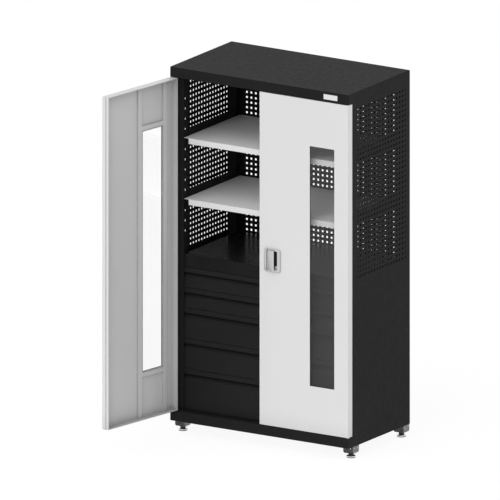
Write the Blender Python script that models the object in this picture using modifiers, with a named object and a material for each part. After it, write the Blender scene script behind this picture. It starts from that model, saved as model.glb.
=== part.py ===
"""Tool cabinet with two windowed doors, perforated sides, shelves and a drawer block.

Units are metres. The cabinet is drawn in its own coordinates: X runs from the left side to the
right, Y from the closed doors' front face to the back, Z up from the floor. An empty then moves
the whole cabinet so that the world origin lies on the floor, under the middle of its box.
"""

import math

import bmesh
import bpy
from mathutils import Vector

# Sheet metal and fits
FIT = 0.0003
BODY_SHEET = 0.0015
TRAY_SHEET = 0.0012
BEND_INSIDE = 0.0005
EDGE_RADIUS = 0.0012
HOLE_CLEARANCE = 0.0003

# Body
CABINET_WIDTH = 1.000
CABINET_DEPTH = 0.550
BODY_HEIGHT = 1.740
FOOT_HEIGHT = 0.060
FASCIA_HEIGHT = 0.050
PLINTH_HEIGHT = 0.050
PLINTH_FLANGE = 0.012

# Corner posts, with slots for the shelf rails. FIRST_SLOT is above the body's underside.
POST_WIDTH = 0.048
FRONT_POST_DEPTH = 0.045
REAR_POST_DEPTH = 0.040
POST_LIP = 0.012
SLOT_WIDTH = 0.008
SLOT_HEIGHT = 0.016
SLOT_INSET = 0.018
SLOT_PITCH = 0.050
FIRST_SLOT = 0.928
SLOT_TOP_MARGIN = 0.150

# Shelves and their rails
SHELF_SLOTS = {"lower": 3, "upper": 9}
SHELF_ABOVE_SLOT = 0.010
SHELF_LIP = 0.028
SHELF_LIP_RETURN = 0.010
SHELF_NOTCH_CLEARANCE = 0.006
SHELF_FRONT_GAP = 0.002
SHELF_REAR_GAP = 0.002
RAIL_RISE = 0.040
RAIL_DROP = 0.020
RAIL_LEG = 0.020
RAIL_TAB_WIDTH = 0.005
RAIL_TAB_HEIGHT = 0.010
RAIL_TAB_REACH = 0.006

# Drawer block
DRAWER_ROWS = (0.100, 0.100, 0.150, 0.150, 0.200)
BLOCK_APRON = 0.065
DRAWER_GAP = 0.003
DRAWER_FRONT_INSET = 0.005
DRAWER_SIDE_GAP = 0.001
DRAWER_REAR_GAP = 0.032
DRAWER_RUNNING_GAP = 0.001
BLOCK_FLOOR_GAP = 0.002
BLOCK_FRONT_GAP = 0.002
DIVIDER_WIDTH = 0.016
LEDGE_WIDTH = 0.012
LEDGE_THICKNESS = 0.002
LEDGE_HEIGHT = 0.008
TRAY_TOP_GAP = 0.012
GRIP_HEIGHT = 0.022
GRIP_DEPTH = 0.022
GRIP_WALL = 0.024
GRIP_SLOPE = 0.026
FRONT_RETURN = 0.014

# Doors
DOOR_THICKNESS = 0.038
DOOR_REAR_GAP = 0.002
DOOR_SIDE_GAP = 0.002
DOOR_MIDDLE_GAP = 0.002
DOOR_TOP_GAP = 0.002
DOOR_BOTTOM_GAP = 0.002
DOOR_LIP = 0.004
REBATE_START = 0.022
REBATE_STEP = 0.003
LEFT_DOOR_OPEN = math.radians(100.0)
HINGE_INSET = 0.008
PIN_RADIUS = 0.004
PIN_COLLAR_RADIUS = 0.007
PIN_REACH = 0.020

# Window: seal, pane and stiffening frame
WINDOW_FROM_HINGE = 0.078
WINDOW_WIDTH = 0.137
WINDOW_END_MARGIN = 0.228
SEAL_INTRUSION = 0.0015
SEAL_OVERLAP = 0.013
SEAL_THICKNESS = 0.0015
PANE_OVERLAP = 0.012
PANE_THICKNESS = 0.003
PANE_POCKET_GAP = 0.001
FRAME_SIDE_WIDTH = 0.028
FRAME_CROSS_WIDTH = 0.021
FRAME_RISE = 0.007
FRAME_SETBACK = 0.006

# Handle and lock on the right door. HANDLE_HEIGHT is above the body's underside.
HANDLE_FROM_EDGE = 0.030
HANDLE_HEIGHT = 0.8685
HANDLE_WIDTH = 0.087
HANDLE_LENGTH = 0.110
HANDLE_THICKNESS = 0.005
HANDLE_CORNER = 0.008
CUP_WIDTH = 0.059
CUP_DEPTH = 0.0175
CUP_RIGHT_BORDER = 0.0155
CUP_TOP_BORDER = 0.009
CUP_BARREL_GAP = 0.0025
LEVER_REACH = 0.042
LEVER_RISE = 0.007
LEVER_KNUCKLE = 0.0025
LEVER_EDGE = 0.004
LEVER_HINGE_INSET = 0.0165
EAR_LENGTH = 0.003
EAR_INSET = 0.002
BARREL_RADIUS = 0.0095
BARREL_PROUD = 0.0015
BARREL_LENGTH = 0.026
BARREL_ABOVE_BOTTOM = 0.017
KEYWAY_WIDTH = 0.0025
KEYWAY_LENGTH = 0.009
KEYWAY_DEPTH = 0.004
LOCK_CASE_BORDER = 0.008
LOCK_CASE_GAP = 0.0015
ROD_RADIUS = 0.005
ROD_FROM_HANDLE_EDGE = 0.0445
ROD_CUP_GAP = 0.0015
ROD_END_GAP = 0.001
ROD_IN_CASE = 0.012

# Feet
BRACKET_SIZE = 0.055
BRACKET_HEIGHT = 0.034
BRACKET_WALL = 0.0025
BRACKET_SLIT = 0.001
BRACKET_CHAMFER = 0.005
BRACKET_INSET = 0.0015
SPINDLE_RADIUS = 0.006
SPINDLE_ABOVE_BRACKET = 0.018
FOOT_DISC_RADIUS = 0.0225
FOOT_DISC_HEIGHT = 0.010
FOOT_NUT_RADIUS = 0.015
FOOT_NUT_HEIGHT = 0.008
FOOT_EDGE = 0.0015

# Blank plate on the fascia
PLATE_FROM_SIDE = 0.062
PLATE_WIDTH = 0.077
PLATE_HEIGHT = 0.025
PLATE_THICKNESS = 0.001

# Levels and planes that follow from the sizes above
BODY_BOTTOM = FOOT_HEIGHT
BODY_TOP = BODY_BOTTOM + BODY_HEIGHT
ROOF_UNDERSIDE = BODY_TOP - BODY_SHEET
FASCIA_BOTTOM = BODY_TOP - FASCIA_HEIGHT
DECK_TOP = BODY_BOTTOM + PLINTH_HEIGHT
FRONT_PLANE = DOOR_THICKNESS + DOOR_REAR_GAP
BACK_INSIDE = CABINET_DEPTH - BODY_SHEET
SIDE_INSIDE = BODY_SHEET + FIT
INNER_LEFT = SIDE_INSIDE + POST_WIDTH
DOOR_WIDTH = (CABINET_WIDTH - 2 * DOOR_SIDE_GAP - DOOR_MIDDLE_GAP) / 2
DOOR_BOTTOM = DECK_TOP + DOOR_BOTTOM_GAP
DOOR_TOP = FASCIA_BOTTOM - DOOR_TOP_GAP
BLOCK_BOTTOM = DECK_TOP + BLOCK_FLOOR_GAP
DRAWERS_TOP = BLOCK_BOTTOM + sum(DRAWER_ROWS)
BLOCK_TOP = DRAWERS_TOP + BLOCK_APRON
DRAWER_FRONT = FRONT_PLANE + DRAWER_FRONT_INSET
BLOCK_FRONT = DRAWER_FRONT + GRIP_DEPTH + TRAY_SHEET + BLOCK_FRONT_GAP
BLOCK_LEFT = INNER_LEFT + FIT
BLOCK_REAR = BACK_INSIDE - FIT
WINDOW_LOW = DOOR_BOTTOM + WINDOW_END_MARGIN
WINDOW_HIGH = DOOR_TOP - WINDOW_END_MARGIN
HANDLE_LEFT = CABINET_WIDTH - DOOR_SIDE_GAP - DOOR_WIDTH + HANDLE_FROM_EDGE
HANDLE_RIGHT = HANDLE_LEFT + HANDLE_WIDTH
HANDLE_LOW = BODY_BOTTOM + HANDLE_HEIGHT - HANDLE_LENGTH / 2
HANDLE_HIGH = HANDLE_LOW + HANDLE_LENGTH
LEVER_LOW = HANDLE_LOW + EAR_INSET + EAR_LENGTH + FIT
LEVER_HIGH = HANDLE_HIGH - EAR_INSET - EAR_LENGTH - FIT
CUP_LENGTH = HANDLE_LENGTH - CUP_TOP_BORDER - CUP_BARREL_GAP - BARREL_RADIUS - BARREL_ABOVE_BOTTOM
ROD_X = HANDLE_LEFT + ROD_FROM_HANDLE_EDGE
ROD_Y = CUP_DEPTH + ROD_CUP_GAP + ROD_RADIUS

ROUND_STEPS = 24
SMALL_ROUND_STEPS = 16
BEND_STEPS = 2
KNUCKLE_STEPS = 4
CROWN_STEPS = 7
PULL_EDGE_STEPS = 3
FULL_TURN = 2 * math.pi

BLACK_PAINT = ((0.022, 0.022, 0.023), 0.42, 0.0)
BLACK_DRAWER_PAINT = ((0.018, 0.018, 0.019), 0.38, 0.0)
PALE_PAINT = ((0.72, 0.72, 0.72), 0.45, 0.0)
SHELF_PAINT = ((0.62, 0.62, 0.62), 0.48, 0.0)
ZINC = ((0.36, 0.36, 0.37), 0.40, 0.9)
BRIGHT_STEEL = ((0.70, 0.70, 0.71), 0.22, 1.0)
CAST_SILVER = ((0.52, 0.52, 0.53), 0.32, 0.6)
DARK_STEEL = ((0.10, 0.10, 0.10), 0.40, 0.8)
BLACK_RUBBER = ((0.012, 0.012, 0.012), 0.75, 0.0)
CLEAR_PANE = ((0.90, 0.92, 0.93), 0.05, 0.0)
BLANK_PLATE = ((0.55, 0.55, 0.55), 0.35, 0.2)


# Scene and collections


def clear_scene():
    for old in list(bpy.data.objects):
        bpy.data.objects.remove(old, do_unlink=True)


def new_collection(name):
    collection = bpy.data.collections.new(name)
    bpy.context.scene.collection.children.link(collection)
    return collection


clear_scene()
PARTS = new_collection("tool_cabinet")
CUTTERS = new_collection("cutters")


def give_finish(obj, finish):
    """Gives the piece its own Principled material."""
    colour, roughness, metallic = finish
    material = bpy.data.materials.new(obj.name + "_finish")
    material.use_nodes = True
    shader = material.node_tree.nodes["Principled BSDF"]
    shader.inputs["Base Color"].default_value = (*colour, 1.0)
    shader.inputs["Roughness"].default_value = roughness
    shader.inputs["Metallic"].default_value = metallic
    obj.data.materials.clear()
    obj.data.materials.append(material)


def new_object(name, data, collection=PARTS):
    obj = bpy.data.objects.new(name, data)
    collection.objects.link(obj)
    return obj


# Shapes


def add_box(bm, low, high):
    """Adds one box between two corners, in any order, to a mesh under construction."""
    low_corner = Vector([min(a, b) for a, b in zip(low, high)])
    high_corner = Vector([max(a, b) for a, b in zip(low, high)])
    made = bmesh.ops.create_cube(bm, size=1.0)
    bmesh.ops.scale(bm, vec=high_corner - low_corner, verts=made["verts"])
    bmesh.ops.translate(bm, vec=(high_corner + low_corner) / 2, verts=made["verts"])


def boxes(name, corners, collection=PARTS):
    """One mesh object that holds a box for each pair of corners."""
    bm = bmesh.new()
    for low, high in corners:
        add_box(bm, low, high)
    mesh = bpy.data.meshes.new(name)
    bm.to_mesh(mesh)
    bm.free()
    return new_object(name, mesh, collection)


def box(name, low, high):
    return boxes(name, [(low, high)])


def cylinder(name, centre, radius, length, axis="Z", steps=ROUND_STEPS, collection=PARTS):
    """A round bar centred on a point, along X, Y or Z."""
    bm = bmesh.new()
    bmesh.ops.create_cone(
        bm, cap_ends=True, segments=steps, radius1=radius, radius2=radius, depth=length
    )
    turns = {"X": (0.0, math.pi / 2, 0.0), "Y": (math.pi / 2, 0.0, 0.0), "Z": (0.0, 0.0, 0.0)}
    mesh = bpy.data.meshes.new(name)
    bm.to_mesh(mesh)
    bm.free()
    obj = new_object(name, mesh, collection)
    obj.rotation_euler = turns[axis]
    obj.location = centre
    apply_place(obj)
    return obj


def apply_place(obj):
    """Moves an object's place and turn into its mesh."""
    obj.data.transform(obj.matrix_basis)
    obj.matrix_basis.identity()
    obj.data.update()


def turned(name, profile, centre, steps=ROUND_STEPS):
    """A turned piece. The profile runs down its outer side, from the axis to the axis."""
    mesh = bpy.data.meshes.new(name)
    points = [(radius, 0.0, height) for radius, height in profile]
    mesh.from_pydata(points, [(i, i + 1) for i in range(len(points) - 1)], [])
    obj = new_object(name, mesh)
    obj.location = centre
    screw = obj.modifiers.new("turn", "SCREW")
    screw.steps = steps
    screw.render_steps = steps
    screw.use_merge_vertices = True
    screw.merge_threshold = 0.00001
    screw.use_smooth_shade = True
    return obj


def rounded_path(points, radius, steps=BEND_STEPS):
    """Replaces each inner corner of a chain of points by an arc of the bend radius."""
    path = [Vector(points[0])]
    for before, corner, after in zip(points, points[1:], points[2:]):
        corner = Vector(corner)
        back = (Vector(before) - corner).normalized()
        ahead = (Vector(after) - corner).normalized()
        half = back.angle(ahead) / 2
        setback = radius / math.tan(half)
        centre = corner + (back + ahead).normalized() * radius / math.sin(half)
        start = corner + back * setback - centre
        sweep = start.angle_signed(corner + ahead * setback - centre)
        for step in range(steps + 1):
            angle = -sweep * step / steps
            turn = Vector(
                (
                    start.x * math.cos(angle) - start.y * math.sin(angle),
                    start.x * math.sin(angle) + start.y * math.cos(angle),
                )
            )
            path.append(centre + turn)
    path.append(Vector(points[-1]))
    return path


def in_space(first, second, third, plane):
    """A point given in a plane, and its place across it, as X, Y and Z."""
    if plane == "XY":
        return Vector((first, second, third))
    if plane == "XZ":
        return Vector((first, third, second))
    return Vector((third, first, second))


def folded_sheet(name, path, span, thickness, plane):
    """A sheet bent along the path and run straight across it. Its metal lies left of the path."""
    bm = bmesh.new()
    near = [bm.verts.new(in_space(p[0], p[1], span[0], plane)) for p in path]
    far = [bm.verts.new(in_space(p[0], p[1], span[1], plane)) for p in path]
    for i in range(len(path) - 1):
        bm.faces.new((near[i], near[i + 1], far[i + 1], far[i]))
    mesh = bpy.data.meshes.new(name)
    bm.to_mesh(mesh)
    bm.free()
    obj = new_object(name, mesh)
    solidify = obj.modifiers.new("sheet", "SOLIDIFY")
    solidify.thickness = thickness
    solidify.offset = -1.0
    solidify.use_even_offset = True
    return obj


def outline_solid(name, loops, across, plane, collection=PARTS):
    """A flat outline with holes, given a thickness between two places across its plane."""
    curve = bpy.data.curves.new(name + "_outline", "CURVE")
    curve.dimensions = "2D"
    curve.fill_mode = "BOTH"
    curve.extrude = abs(across[1] - across[0]) / 2
    for loop in loops:
        spline = curve.splines.new("POLY")
        spline.points.add(len(loop) - 1)
        for point, (first, second) in zip(spline.points, loop):
            point.co = (first, second, 0.0, 1.0)
        spline.use_cyclic_u = True
    shaper = new_object(name + "_outline", curve, collection)
    obj = mesh_from_curve(name, shaper, collection)
    middle = (across[0] + across[1]) / 2
    for vertex in obj.data.vertices:
        vertex.co = in_space(vertex.co.x, vertex.co.y, middle + vertex.co.z, plane)
    if plane == "XZ":
        turn_faces(obj.data)
    return obj


def turn_faces(mesh):
    """Turns every face over, for a plane whose axes run the other way round."""
    bm = bmesh.new()
    bm.from_mesh(mesh)
    bmesh.ops.reverse_faces(bm, faces=bm.faces[:])
    bm.to_mesh(mesh)
    bm.free()


def mesh_from_curve(name, shaper, collection):
    """Makes a filled curve a mesh and welds its caps, so that it can be cut or joined."""
    bpy.context.view_layer.update()
    graph = bpy.context.evaluated_depsgraph_get()
    mesh = bpy.data.meshes.new_from_object(shaper.evaluated_get(graph))
    bm = bmesh.new()
    bm.from_mesh(mesh)
    bmesh.ops.remove_doubles(bm, verts=bm.verts[:], dist=0.00001)
    bm.to_mesh(mesh)
    bm.free()
    obj = new_object(name, mesh, collection)
    obj.matrix_world = shaper.matrix_world
    bpy.data.objects.remove(shaper, do_unlink=True)
    return obj


def round_edges(obj, width, segments=1):
    bevel = obj.modifiers.new("round", "BEVEL")
    bevel.width = width
    bevel.segments = segments
    bevel.limit_method = "ANGLE"
    bevel.angle_limit = math.radians(50.0)
    return obj


def combine(obj, other, operation):
    """Cuts or joins with another object, which becomes a hidden helper in the piece's frame."""
    for collection in list(other.users_collection):
        collection.objects.unlink(other)
    CUTTERS.objects.link(other)
    other.parent = obj
    other.hide_render = True
    other.display_type = "WIRE"
    boolean = obj.modifiers.new(other.name, "BOOLEAN")
    boolean.operation = operation
    boolean.object = other
    boolean.solver = "EXACT"
    return obj


def cut(obj, cutter):
    return combine(obj, cutter, "DIFFERENCE")


def join(obj, other):
    return combine(obj, other, "UNION")


def smooth_round(obj):
    """Shades a piece's round sides smooth and keeps its edges sharp."""
    obj.data.shade_smooth()
    obj.data.set_sharp_from_angle(angle=math.radians(35.0))
    return obj


# Places and turning frames


def swing(point, pivot, angle):
    """A plan point after a turn to the right about a pivot, as the left door opens."""
    across = point[0] - pivot[0]
    back = point[1] - pivot[1]
    return (
        pivot[0] + across * math.cos(angle) + back * math.sin(angle),
        pivot[1] - across * math.sin(angle) + back * math.cos(angle),
    )


def rest_middle():
    """The middle of the cabinet's plan box at rest, with its left door open."""
    pivot = (HINGE_INSET, HINGE_INSET)
    edge = DOOR_SIDE_GAP + DOOR_WIDTH
    corners = [
        swing((edge, 0.0), pivot, LEFT_DOOR_OPEN),
        swing((edge, REBATE_START), pivot, LEFT_DOOR_OPEN),
        swing((edge - REBATE_STEP, DOOR_THICKNESS), pivot, LEFT_DOOR_OPEN),
        (0.0, 0.0),
        (CABINET_WIDTH, CABINET_DEPTH),
    ]
    xs = [corner[0] for corner in corners]
    ys = [corner[1] for corner in corners]
    return (min(xs) + max(xs)) / 2, (min(ys) + max(ys)) / 2


def new_frame(name, place, parent=None, turn=0.0):
    """An empty that carries the pieces that turn or move together."""
    empty = bpy.data.objects.new(name, None)
    PARTS.objects.link(empty)
    empty.location = place
    empty.rotation_euler = (0.0, 0.0, turn)
    empty.parent = parent
    return empty


MIDDLE_X, MIDDLE_Y = rest_middle()
DATUM = new_frame("cabinet_datum", (-MIDDLE_X, -MIDDLE_Y, 0.0))


def hang(obj, frame, pivot=(0.0, 0.0, 0.0)):
    """Hangs a piece drawn in cabinet coordinates on a frame that stands at the pivot."""
    obj.parent = frame
    obj.location = Vector(obj.location) - Vector(pivot)
    return obj


def fixed(obj, finish):
    give_finish(obj, finish)
    return hang(obj, DATUM)


# Body


def mirror_x(x, side):
    """A place across the cabinet, measured from the left or from the right side."""
    return x if side == "left" else CABINET_WIDTH - x


def make_roof():
    roof = box("roof", (0, 0, FASCIA_BOTTOM), (CABINET_WIDTH, CABINET_DEPTH, BODY_TOP))
    round_edges(roof, EDGE_RADIUS)
    cut(
        roof,
        box(
            "roof_underside_cutter",
            (-BODY_SHEET, FRONT_PLANE, FASCIA_BOTTOM - BODY_SHEET),
            (CABINET_WIDTH + BODY_SHEET, CABINET_DEPTH + BODY_SHEET, ROOF_UNDERSIDE),
        ),
    )
    cut(
        roof,
        box(
            "fascia_hollow_cutter",
            (BODY_SHEET, BODY_SHEET, FASCIA_BOTTOM + BODY_SHEET),
            (CABINET_WIDTH - BODY_SHEET, FRONT_PLANE + BODY_SHEET, ROOF_UNDERSIDE),
        ),
    )
    cut_pin_holes(roof, "fascia", FASCIA_BOTTOM)
    cut(roof, rod_hole("fascia_rod_hole_cutter", FASCIA_BOTTOM))
    return fixed(roof, BLACK_PAINT)


def cut_pin_holes(sheet, name, level):
    for side in ("left", "right"):
        hole = cylinder(
            f"{name}_{side}_pin_hole_cutter",
            (mirror_x(HINGE_INSET, side), HINGE_INSET, level),
            PIN_RADIUS + HOLE_CLEARANCE,
            6 * BODY_SHEET,
            steps=SMALL_ROUND_STEPS,
        )
        cut(sheet, hole)


def rod_hole(name, level):
    return cylinder(
        name,
        (ROD_X, ROD_Y, level),
        ROD_RADIUS + HOLE_CLEARANCE,
        6 * BODY_SHEET,
        steps=SMALL_ROUND_STEPS,
    )


def make_floor_tray():
    tray = box("floor_tray", (0, 0, BODY_BOTTOM), (CABINET_WIDTH, BACK_INSIDE - FIT, DECK_TOP))
    round_edges(tray, EDGE_RADIUS)
    for side in ("left", "right"):
        cut(
            tray,
            box(
                f"floor_{side}_cutter",
                (mirror_x(-BODY_SHEET, side), FRONT_PLANE, BODY_BOTTOM - BODY_SHEET),
                (mirror_x(SIDE_INSIDE, side), CABINET_DEPTH, DECK_TOP + BODY_SHEET),
            ),
        )
    wall = SIDE_INSIDE + BODY_SHEET
    rear = BACK_INSIDE - FIT - BODY_SHEET
    cut(
        tray,
        box(
            "floor_hollow_cutter",
            (wall, BODY_SHEET, BODY_BOTTOM + BODY_SHEET),
            (CABINET_WIDTH - wall, rear, DECK_TOP - BODY_SHEET),
        ),
    )
    cut(
        tray,
        box(
            "floor_opening_cutter",
            (wall + PLINTH_FLANGE, BODY_SHEET + PLINTH_FLANGE, BODY_BOTTOM - BODY_SHEET),
            (CABINET_WIDTH - wall - PLINTH_FLANGE, rear - PLINTH_FLANGE, BODY_BOTTOM + 2 * BODY_SHEET),
        ),
    )
    for corner in foot_places():
        cut(tray, spindle_hole(f"floor_{corner}_spindle_cutter", foot_places()[corner]))
    cut_pin_holes(tray, "plinth", DECK_TOP)
    cut(tray, rod_hole("plinth_rod_hole_cutter", DECK_TOP))
    return fixed(tray, BLACK_PAINT)


def spindle_hole(name, place):
    x, y = place
    return cylinder(
        name,
        (x, y, BODY_BOTTOM),
        SPINDLE_RADIUS + HOLE_CLEARANCE,
        4 * BODY_SHEET + BRACKET_WALL,
        steps=SMALL_ROUND_STEPS,
    )


def make_side_panel(side):
    panel = box(
        f"side_panel_{side}",
        (mirror_x(0.0, side), FRONT_PLANE + FIT, BODY_BOTTOM),
        (mirror_x(BODY_SHEET, side), CABINET_DEPTH, ROOF_UNDERSIDE - FIT),
    )
    return fixed(panel, BLACK_PAINT)


def make_back_panel():
    panel = box(
        "back_panel",
        (SIDE_INSIDE, BACK_INSIDE, BODY_BOTTOM),
        (CABINET_WIDTH - SIDE_INSIDE, CABINET_DEPTH, ROOF_UNDERSIDE - FIT),
    )
    return fixed(panel, BLACK_PAINT)


def slot_level(index):
    return BODY_BOTTOM + FIRST_SLOT + SLOT_PITCH * index


def slot_count():
    """How many slots fit between the first one and the margin under the roof."""
    run = ROOF_UNDERSIDE - SLOT_TOP_MARGIN - slot_level(0)
    return int(run / SLOT_PITCH) + 1


def post_front(row):
    """The front face of a post in the front or the rear row."""
    return FRONT_PLANE + FIT if row == "front" else BACK_INSIDE - FIT - REAR_POST_DEPTH


def make_post(row, side):
    """A folded channel with its closed side to the cabinet's inside and slots for the rails."""
    depth = FRONT_POST_DEPTH if row == "front" else REAR_POST_DEPTH
    front = post_front(row)
    outer = mirror_x(SIDE_INSIDE, side)
    inner = mirror_x(INNER_LEFT, side)
    lip_end = mirror_x(INNER_LEFT - POST_LIP, side)
    corners = [
        (outer, front + depth),
        (outer, front),
        (inner, front),
        (inner, front + depth),
        (lip_end, front + depth),
    ]
    if side == "right":
        corners.reverse()
    post = folded_sheet(
        f"post_{row}_{side}",
        rounded_path(corners, BEND_INSIDE + BODY_SHEET),
        (DECK_TOP + FIT, ROOF_UNDERSIDE - FIT),
        BODY_SHEET,
        "XY",
    )
    slots = []
    for index in range(slot_count()):
        level = slot_level(index)
        slots.append(
            (
                (inner - 2 * BODY_SHEET, front + SLOT_INSET - SLOT_WIDTH / 2, level - SLOT_HEIGHT / 2),
                (inner + 2 * BODY_SHEET, front + SLOT_INSET + SLOT_WIDTH / 2, level + SLOT_HEIGHT / 2),
            )
        )
    cut(post, boxes(f"post_{row}_{side}_slot_cutter", slots))
    return fixed(post, BLACK_PAINT)


def make_blank_plate():
    right = CABINET_WIDTH - PLATE_FROM_SIDE
    low = FASCIA_BOTTOM + (FASCIA_HEIGHT - PLATE_HEIGHT) / 2
    plate = box(
        "blank_plate",
        (right - PLATE_WIDTH, -FIT - PLATE_THICKNESS, low),
        (right, -FIT, low + PLATE_HEIGHT),
    )
    return fixed(plate, BLANK_PLATE)


# Shelves


def shelf_top(level):
    return slot_level(SHELF_SLOTS[level]) + SHELF_ABOVE_SLOT


def rail_inner():
    """Where the upright leg of a left shelf rail ends, towards the cabinet's middle."""
    return INNER_LEFT + FIT + BODY_SHEET


def make_shelf_rail(level, side):
    """An angle hooked in the posts' slots, with a leg under the shelf and a fence beside it."""
    top = shelf_top(level)
    leg_top = top - TRAY_SHEET - FIT
    front = post_front("front")
    rear = BACK_INSIDE - 2 * FIT
    rail = box(
        f"shelf_rail_{level}_{side}",
        (mirror_x(INNER_LEFT + FIT, side), front, leg_top - RAIL_DROP),
        (mirror_x(rail_inner(), side), rear, leg_top),
    )
    join(
        rail,
        box(
            f"rail_fence_{level}_{side}",
            (
                mirror_x(INNER_LEFT + FIT, side),
                front + FRONT_POST_DEPTH,
                leg_top - RAIL_DROP / 2,
            ),
            (mirror_x(rail_inner(), side), post_front("rear"), top + RAIL_RISE),
        ),
    )
    join(
        rail,
        box(
            f"rail_leg_{level}_{side}",
            (mirror_x(INNER_LEFT + 2 * FIT, side), front + SHELF_FRONT_GAP, leg_top - BODY_SHEET),
            (mirror_x(rail_inner() + RAIL_LEG, side), rear - SHELF_REAR_GAP, leg_top),
        ),
    )
    tabs = []
    for row in ("front", "rear"):
        middle = post_front(row) + SLOT_INSET
        low = slot_level(SHELF_SLOTS[level]) - RAIL_TAB_HEIGHT / 2
        tabs.append(
            (
                (mirror_x(INNER_LEFT - RAIL_TAB_REACH, side), middle - RAIL_TAB_WIDTH / 2, low),
                (
                    mirror_x(INNER_LEFT + 2 * FIT, side),
                    middle + RAIL_TAB_WIDTH / 2,
                    low + RAIL_TAB_HEIGHT,
                ),
            )
        )
    join(rail, boxes(f"rail_tabs_{level}_{side}", tabs))
    return fixed(rail, BLACK_PAINT)


def make_shelf(level):
    """A tray turned down at the front and back, notched at its ends to clear the rails."""
    top = shelf_top(level)
    front = FRONT_PLANE + SHELF_FRONT_GAP
    rear = BACK_INSIDE - SHELF_REAR_GAP
    low = top - SHELF_LIP
    corners = [
        (front + SHELF_LIP_RETURN, low),
        (front, low),
        (front, top),
        (rear, top),
        (rear, low),
        (rear - SHELF_LIP_RETURN, low),
    ]
    corners.reverse()
    left = rail_inner() + FIT
    shelf = folded_sheet(
        f"shelf_{level}",
        rounded_path(corners, BEND_INSIDE + TRAY_SHEET),
        (left, CABINET_WIDTH - left),
        TRAY_SHEET,
        "YZ",
    )
    for side in ("left", "right"):
        cut(
            shelf,
            box(
                f"shelf_{level}_{side}_notch_cutter",
                (mirror_x(left - TRAY_SHEET, side), front - TRAY_SHEET, low - TRAY_SHEET),
                (
                    mirror_x(left + RAIL_LEG + SHELF_NOTCH_CLEARANCE, side),
                    rear + TRAY_SHEET,
                    top - TRAY_SHEET - FIT / 2,
                ),
            ),
        )
    return fixed(shelf, SHELF_PAINT)


# Drawer block


def row_levels():
    """The top and the bottom level of each drawer row, from the top row down."""
    levels = []
    top = DRAWERS_TOP
    for height in DRAWER_ROWS:
        levels.append((top, top - height))
        top -= height
    return levels


def make_block_top():
    """The block's top sheet, folded down at the front into an apron over the top drawers."""
    corners = [
        (BLOCK_REAR, BLOCK_TOP),
        (DRAWER_FRONT, BLOCK_TOP),
        (DRAWER_FRONT, DRAWERS_TOP + DRAWER_GAP / 2),
    ]
    top = folded_sheet(
        "block_top",
        rounded_path(corners, BEND_INSIDE + BODY_SHEET),
        (BLOCK_LEFT, CABINET_WIDTH - BLOCK_LEFT),
        BODY_SHEET,
        "YZ",
    )
    return fixed(top, BLACK_DRAWER_PAINT)


def ledge_boxes(wall, inwards):
    """A ledge for each drawer row, from a wall towards the drawers."""
    corners = []
    for _, bottom in row_levels():
        low = bottom + LEDGE_HEIGHT
        corners.append(
            (
                (wall - inwards * BODY_SHEET / 2, BLOCK_FRONT + BODY_SHEET, low),
                (wall + inwards * LEDGE_WIDTH, BLOCK_REAR - BODY_SHEET, low + LEDGE_THICKNESS),
            )
        )
    return corners


def make_block_side(side):
    inwards = 1 if side == "left" else -1
    wall = mirror_x(BLOCK_LEFT + BODY_SHEET, side)
    sheet = box(
        f"block_side_{side}",
        (mirror_x(BLOCK_LEFT, side), BLOCK_FRONT, DECK_TOP + FIT),
        (wall, BLOCK_REAR, BLOCK_TOP - BODY_SHEET - FIT),
    )
    join(sheet, boxes(f"block_{side}_ledges", ledge_boxes(wall, inwards)))
    return fixed(sheet, BLACK_DRAWER_PAINT)


def make_block_divider():
    """A folded double wall between the two drawer columns, with ledges on both sides."""
    middle = CABINET_WIDTH / 2
    left = middle - DIVIDER_WIDTH / 2
    right = middle + DIVIDER_WIDTH / 2
    corners = [
        (left, BLOCK_REAR),
        (left, BLOCK_FRONT),
        (right, BLOCK_FRONT),
        (right, BLOCK_REAR),
    ]
    divider = folded_sheet(
        "block_divider",
        rounded_path(corners, BEND_INSIDE + BODY_SHEET),
        (DECK_TOP + FIT, BLOCK_TOP - BODY_SHEET - FIT),
        BODY_SHEET,
        "XY",
    )
    join(divider, boxes("block_divider_left_ledges", ledge_boxes(left, -1)))
    join(divider, boxes("block_divider_right_ledges", ledge_boxes(right, 1)))
    return fixed(divider, BLACK_DRAWER_PAINT)


def drawer_span(column):
    """The left and right ends of a drawer's front and of its tray."""
    middle = CABINET_WIDTH / 2
    front_left = BLOCK_LEFT + DRAWER_SIDE_GAP
    front_right = middle - DRAWER_SIDE_GAP
    tray_left = BLOCK_LEFT + BODY_SHEET + DRAWER_RUNNING_GAP
    tray_right = middle - DIVIDER_WIDTH / 2 - DRAWER_RUNNING_GAP
    if column == "left":
        return (front_left, front_right), (tray_left, tray_right)
    return (
        (CABINET_WIDTH - front_right, CABINET_WIDTH - front_left),
        (CABINET_WIDTH - tray_right, CABINET_WIDTH - tray_left),
    )


def drawer_front_path(top, bottom):
    """The folds of a drawer front: grip strip, finger groove, face and bottom return."""
    face = DRAWER_FRONT
    groove = face + GRIP_DEPTH
    return [
        (face + FRONT_RETURN, bottom),
        (face, bottom),
        (face, top - GRIP_WALL - GRIP_SLOPE),
        (groove, top - GRIP_WALL),
        (groove, top),
        (face, top),
        (face, top - GRIP_HEIGHT),
    ]


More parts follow.
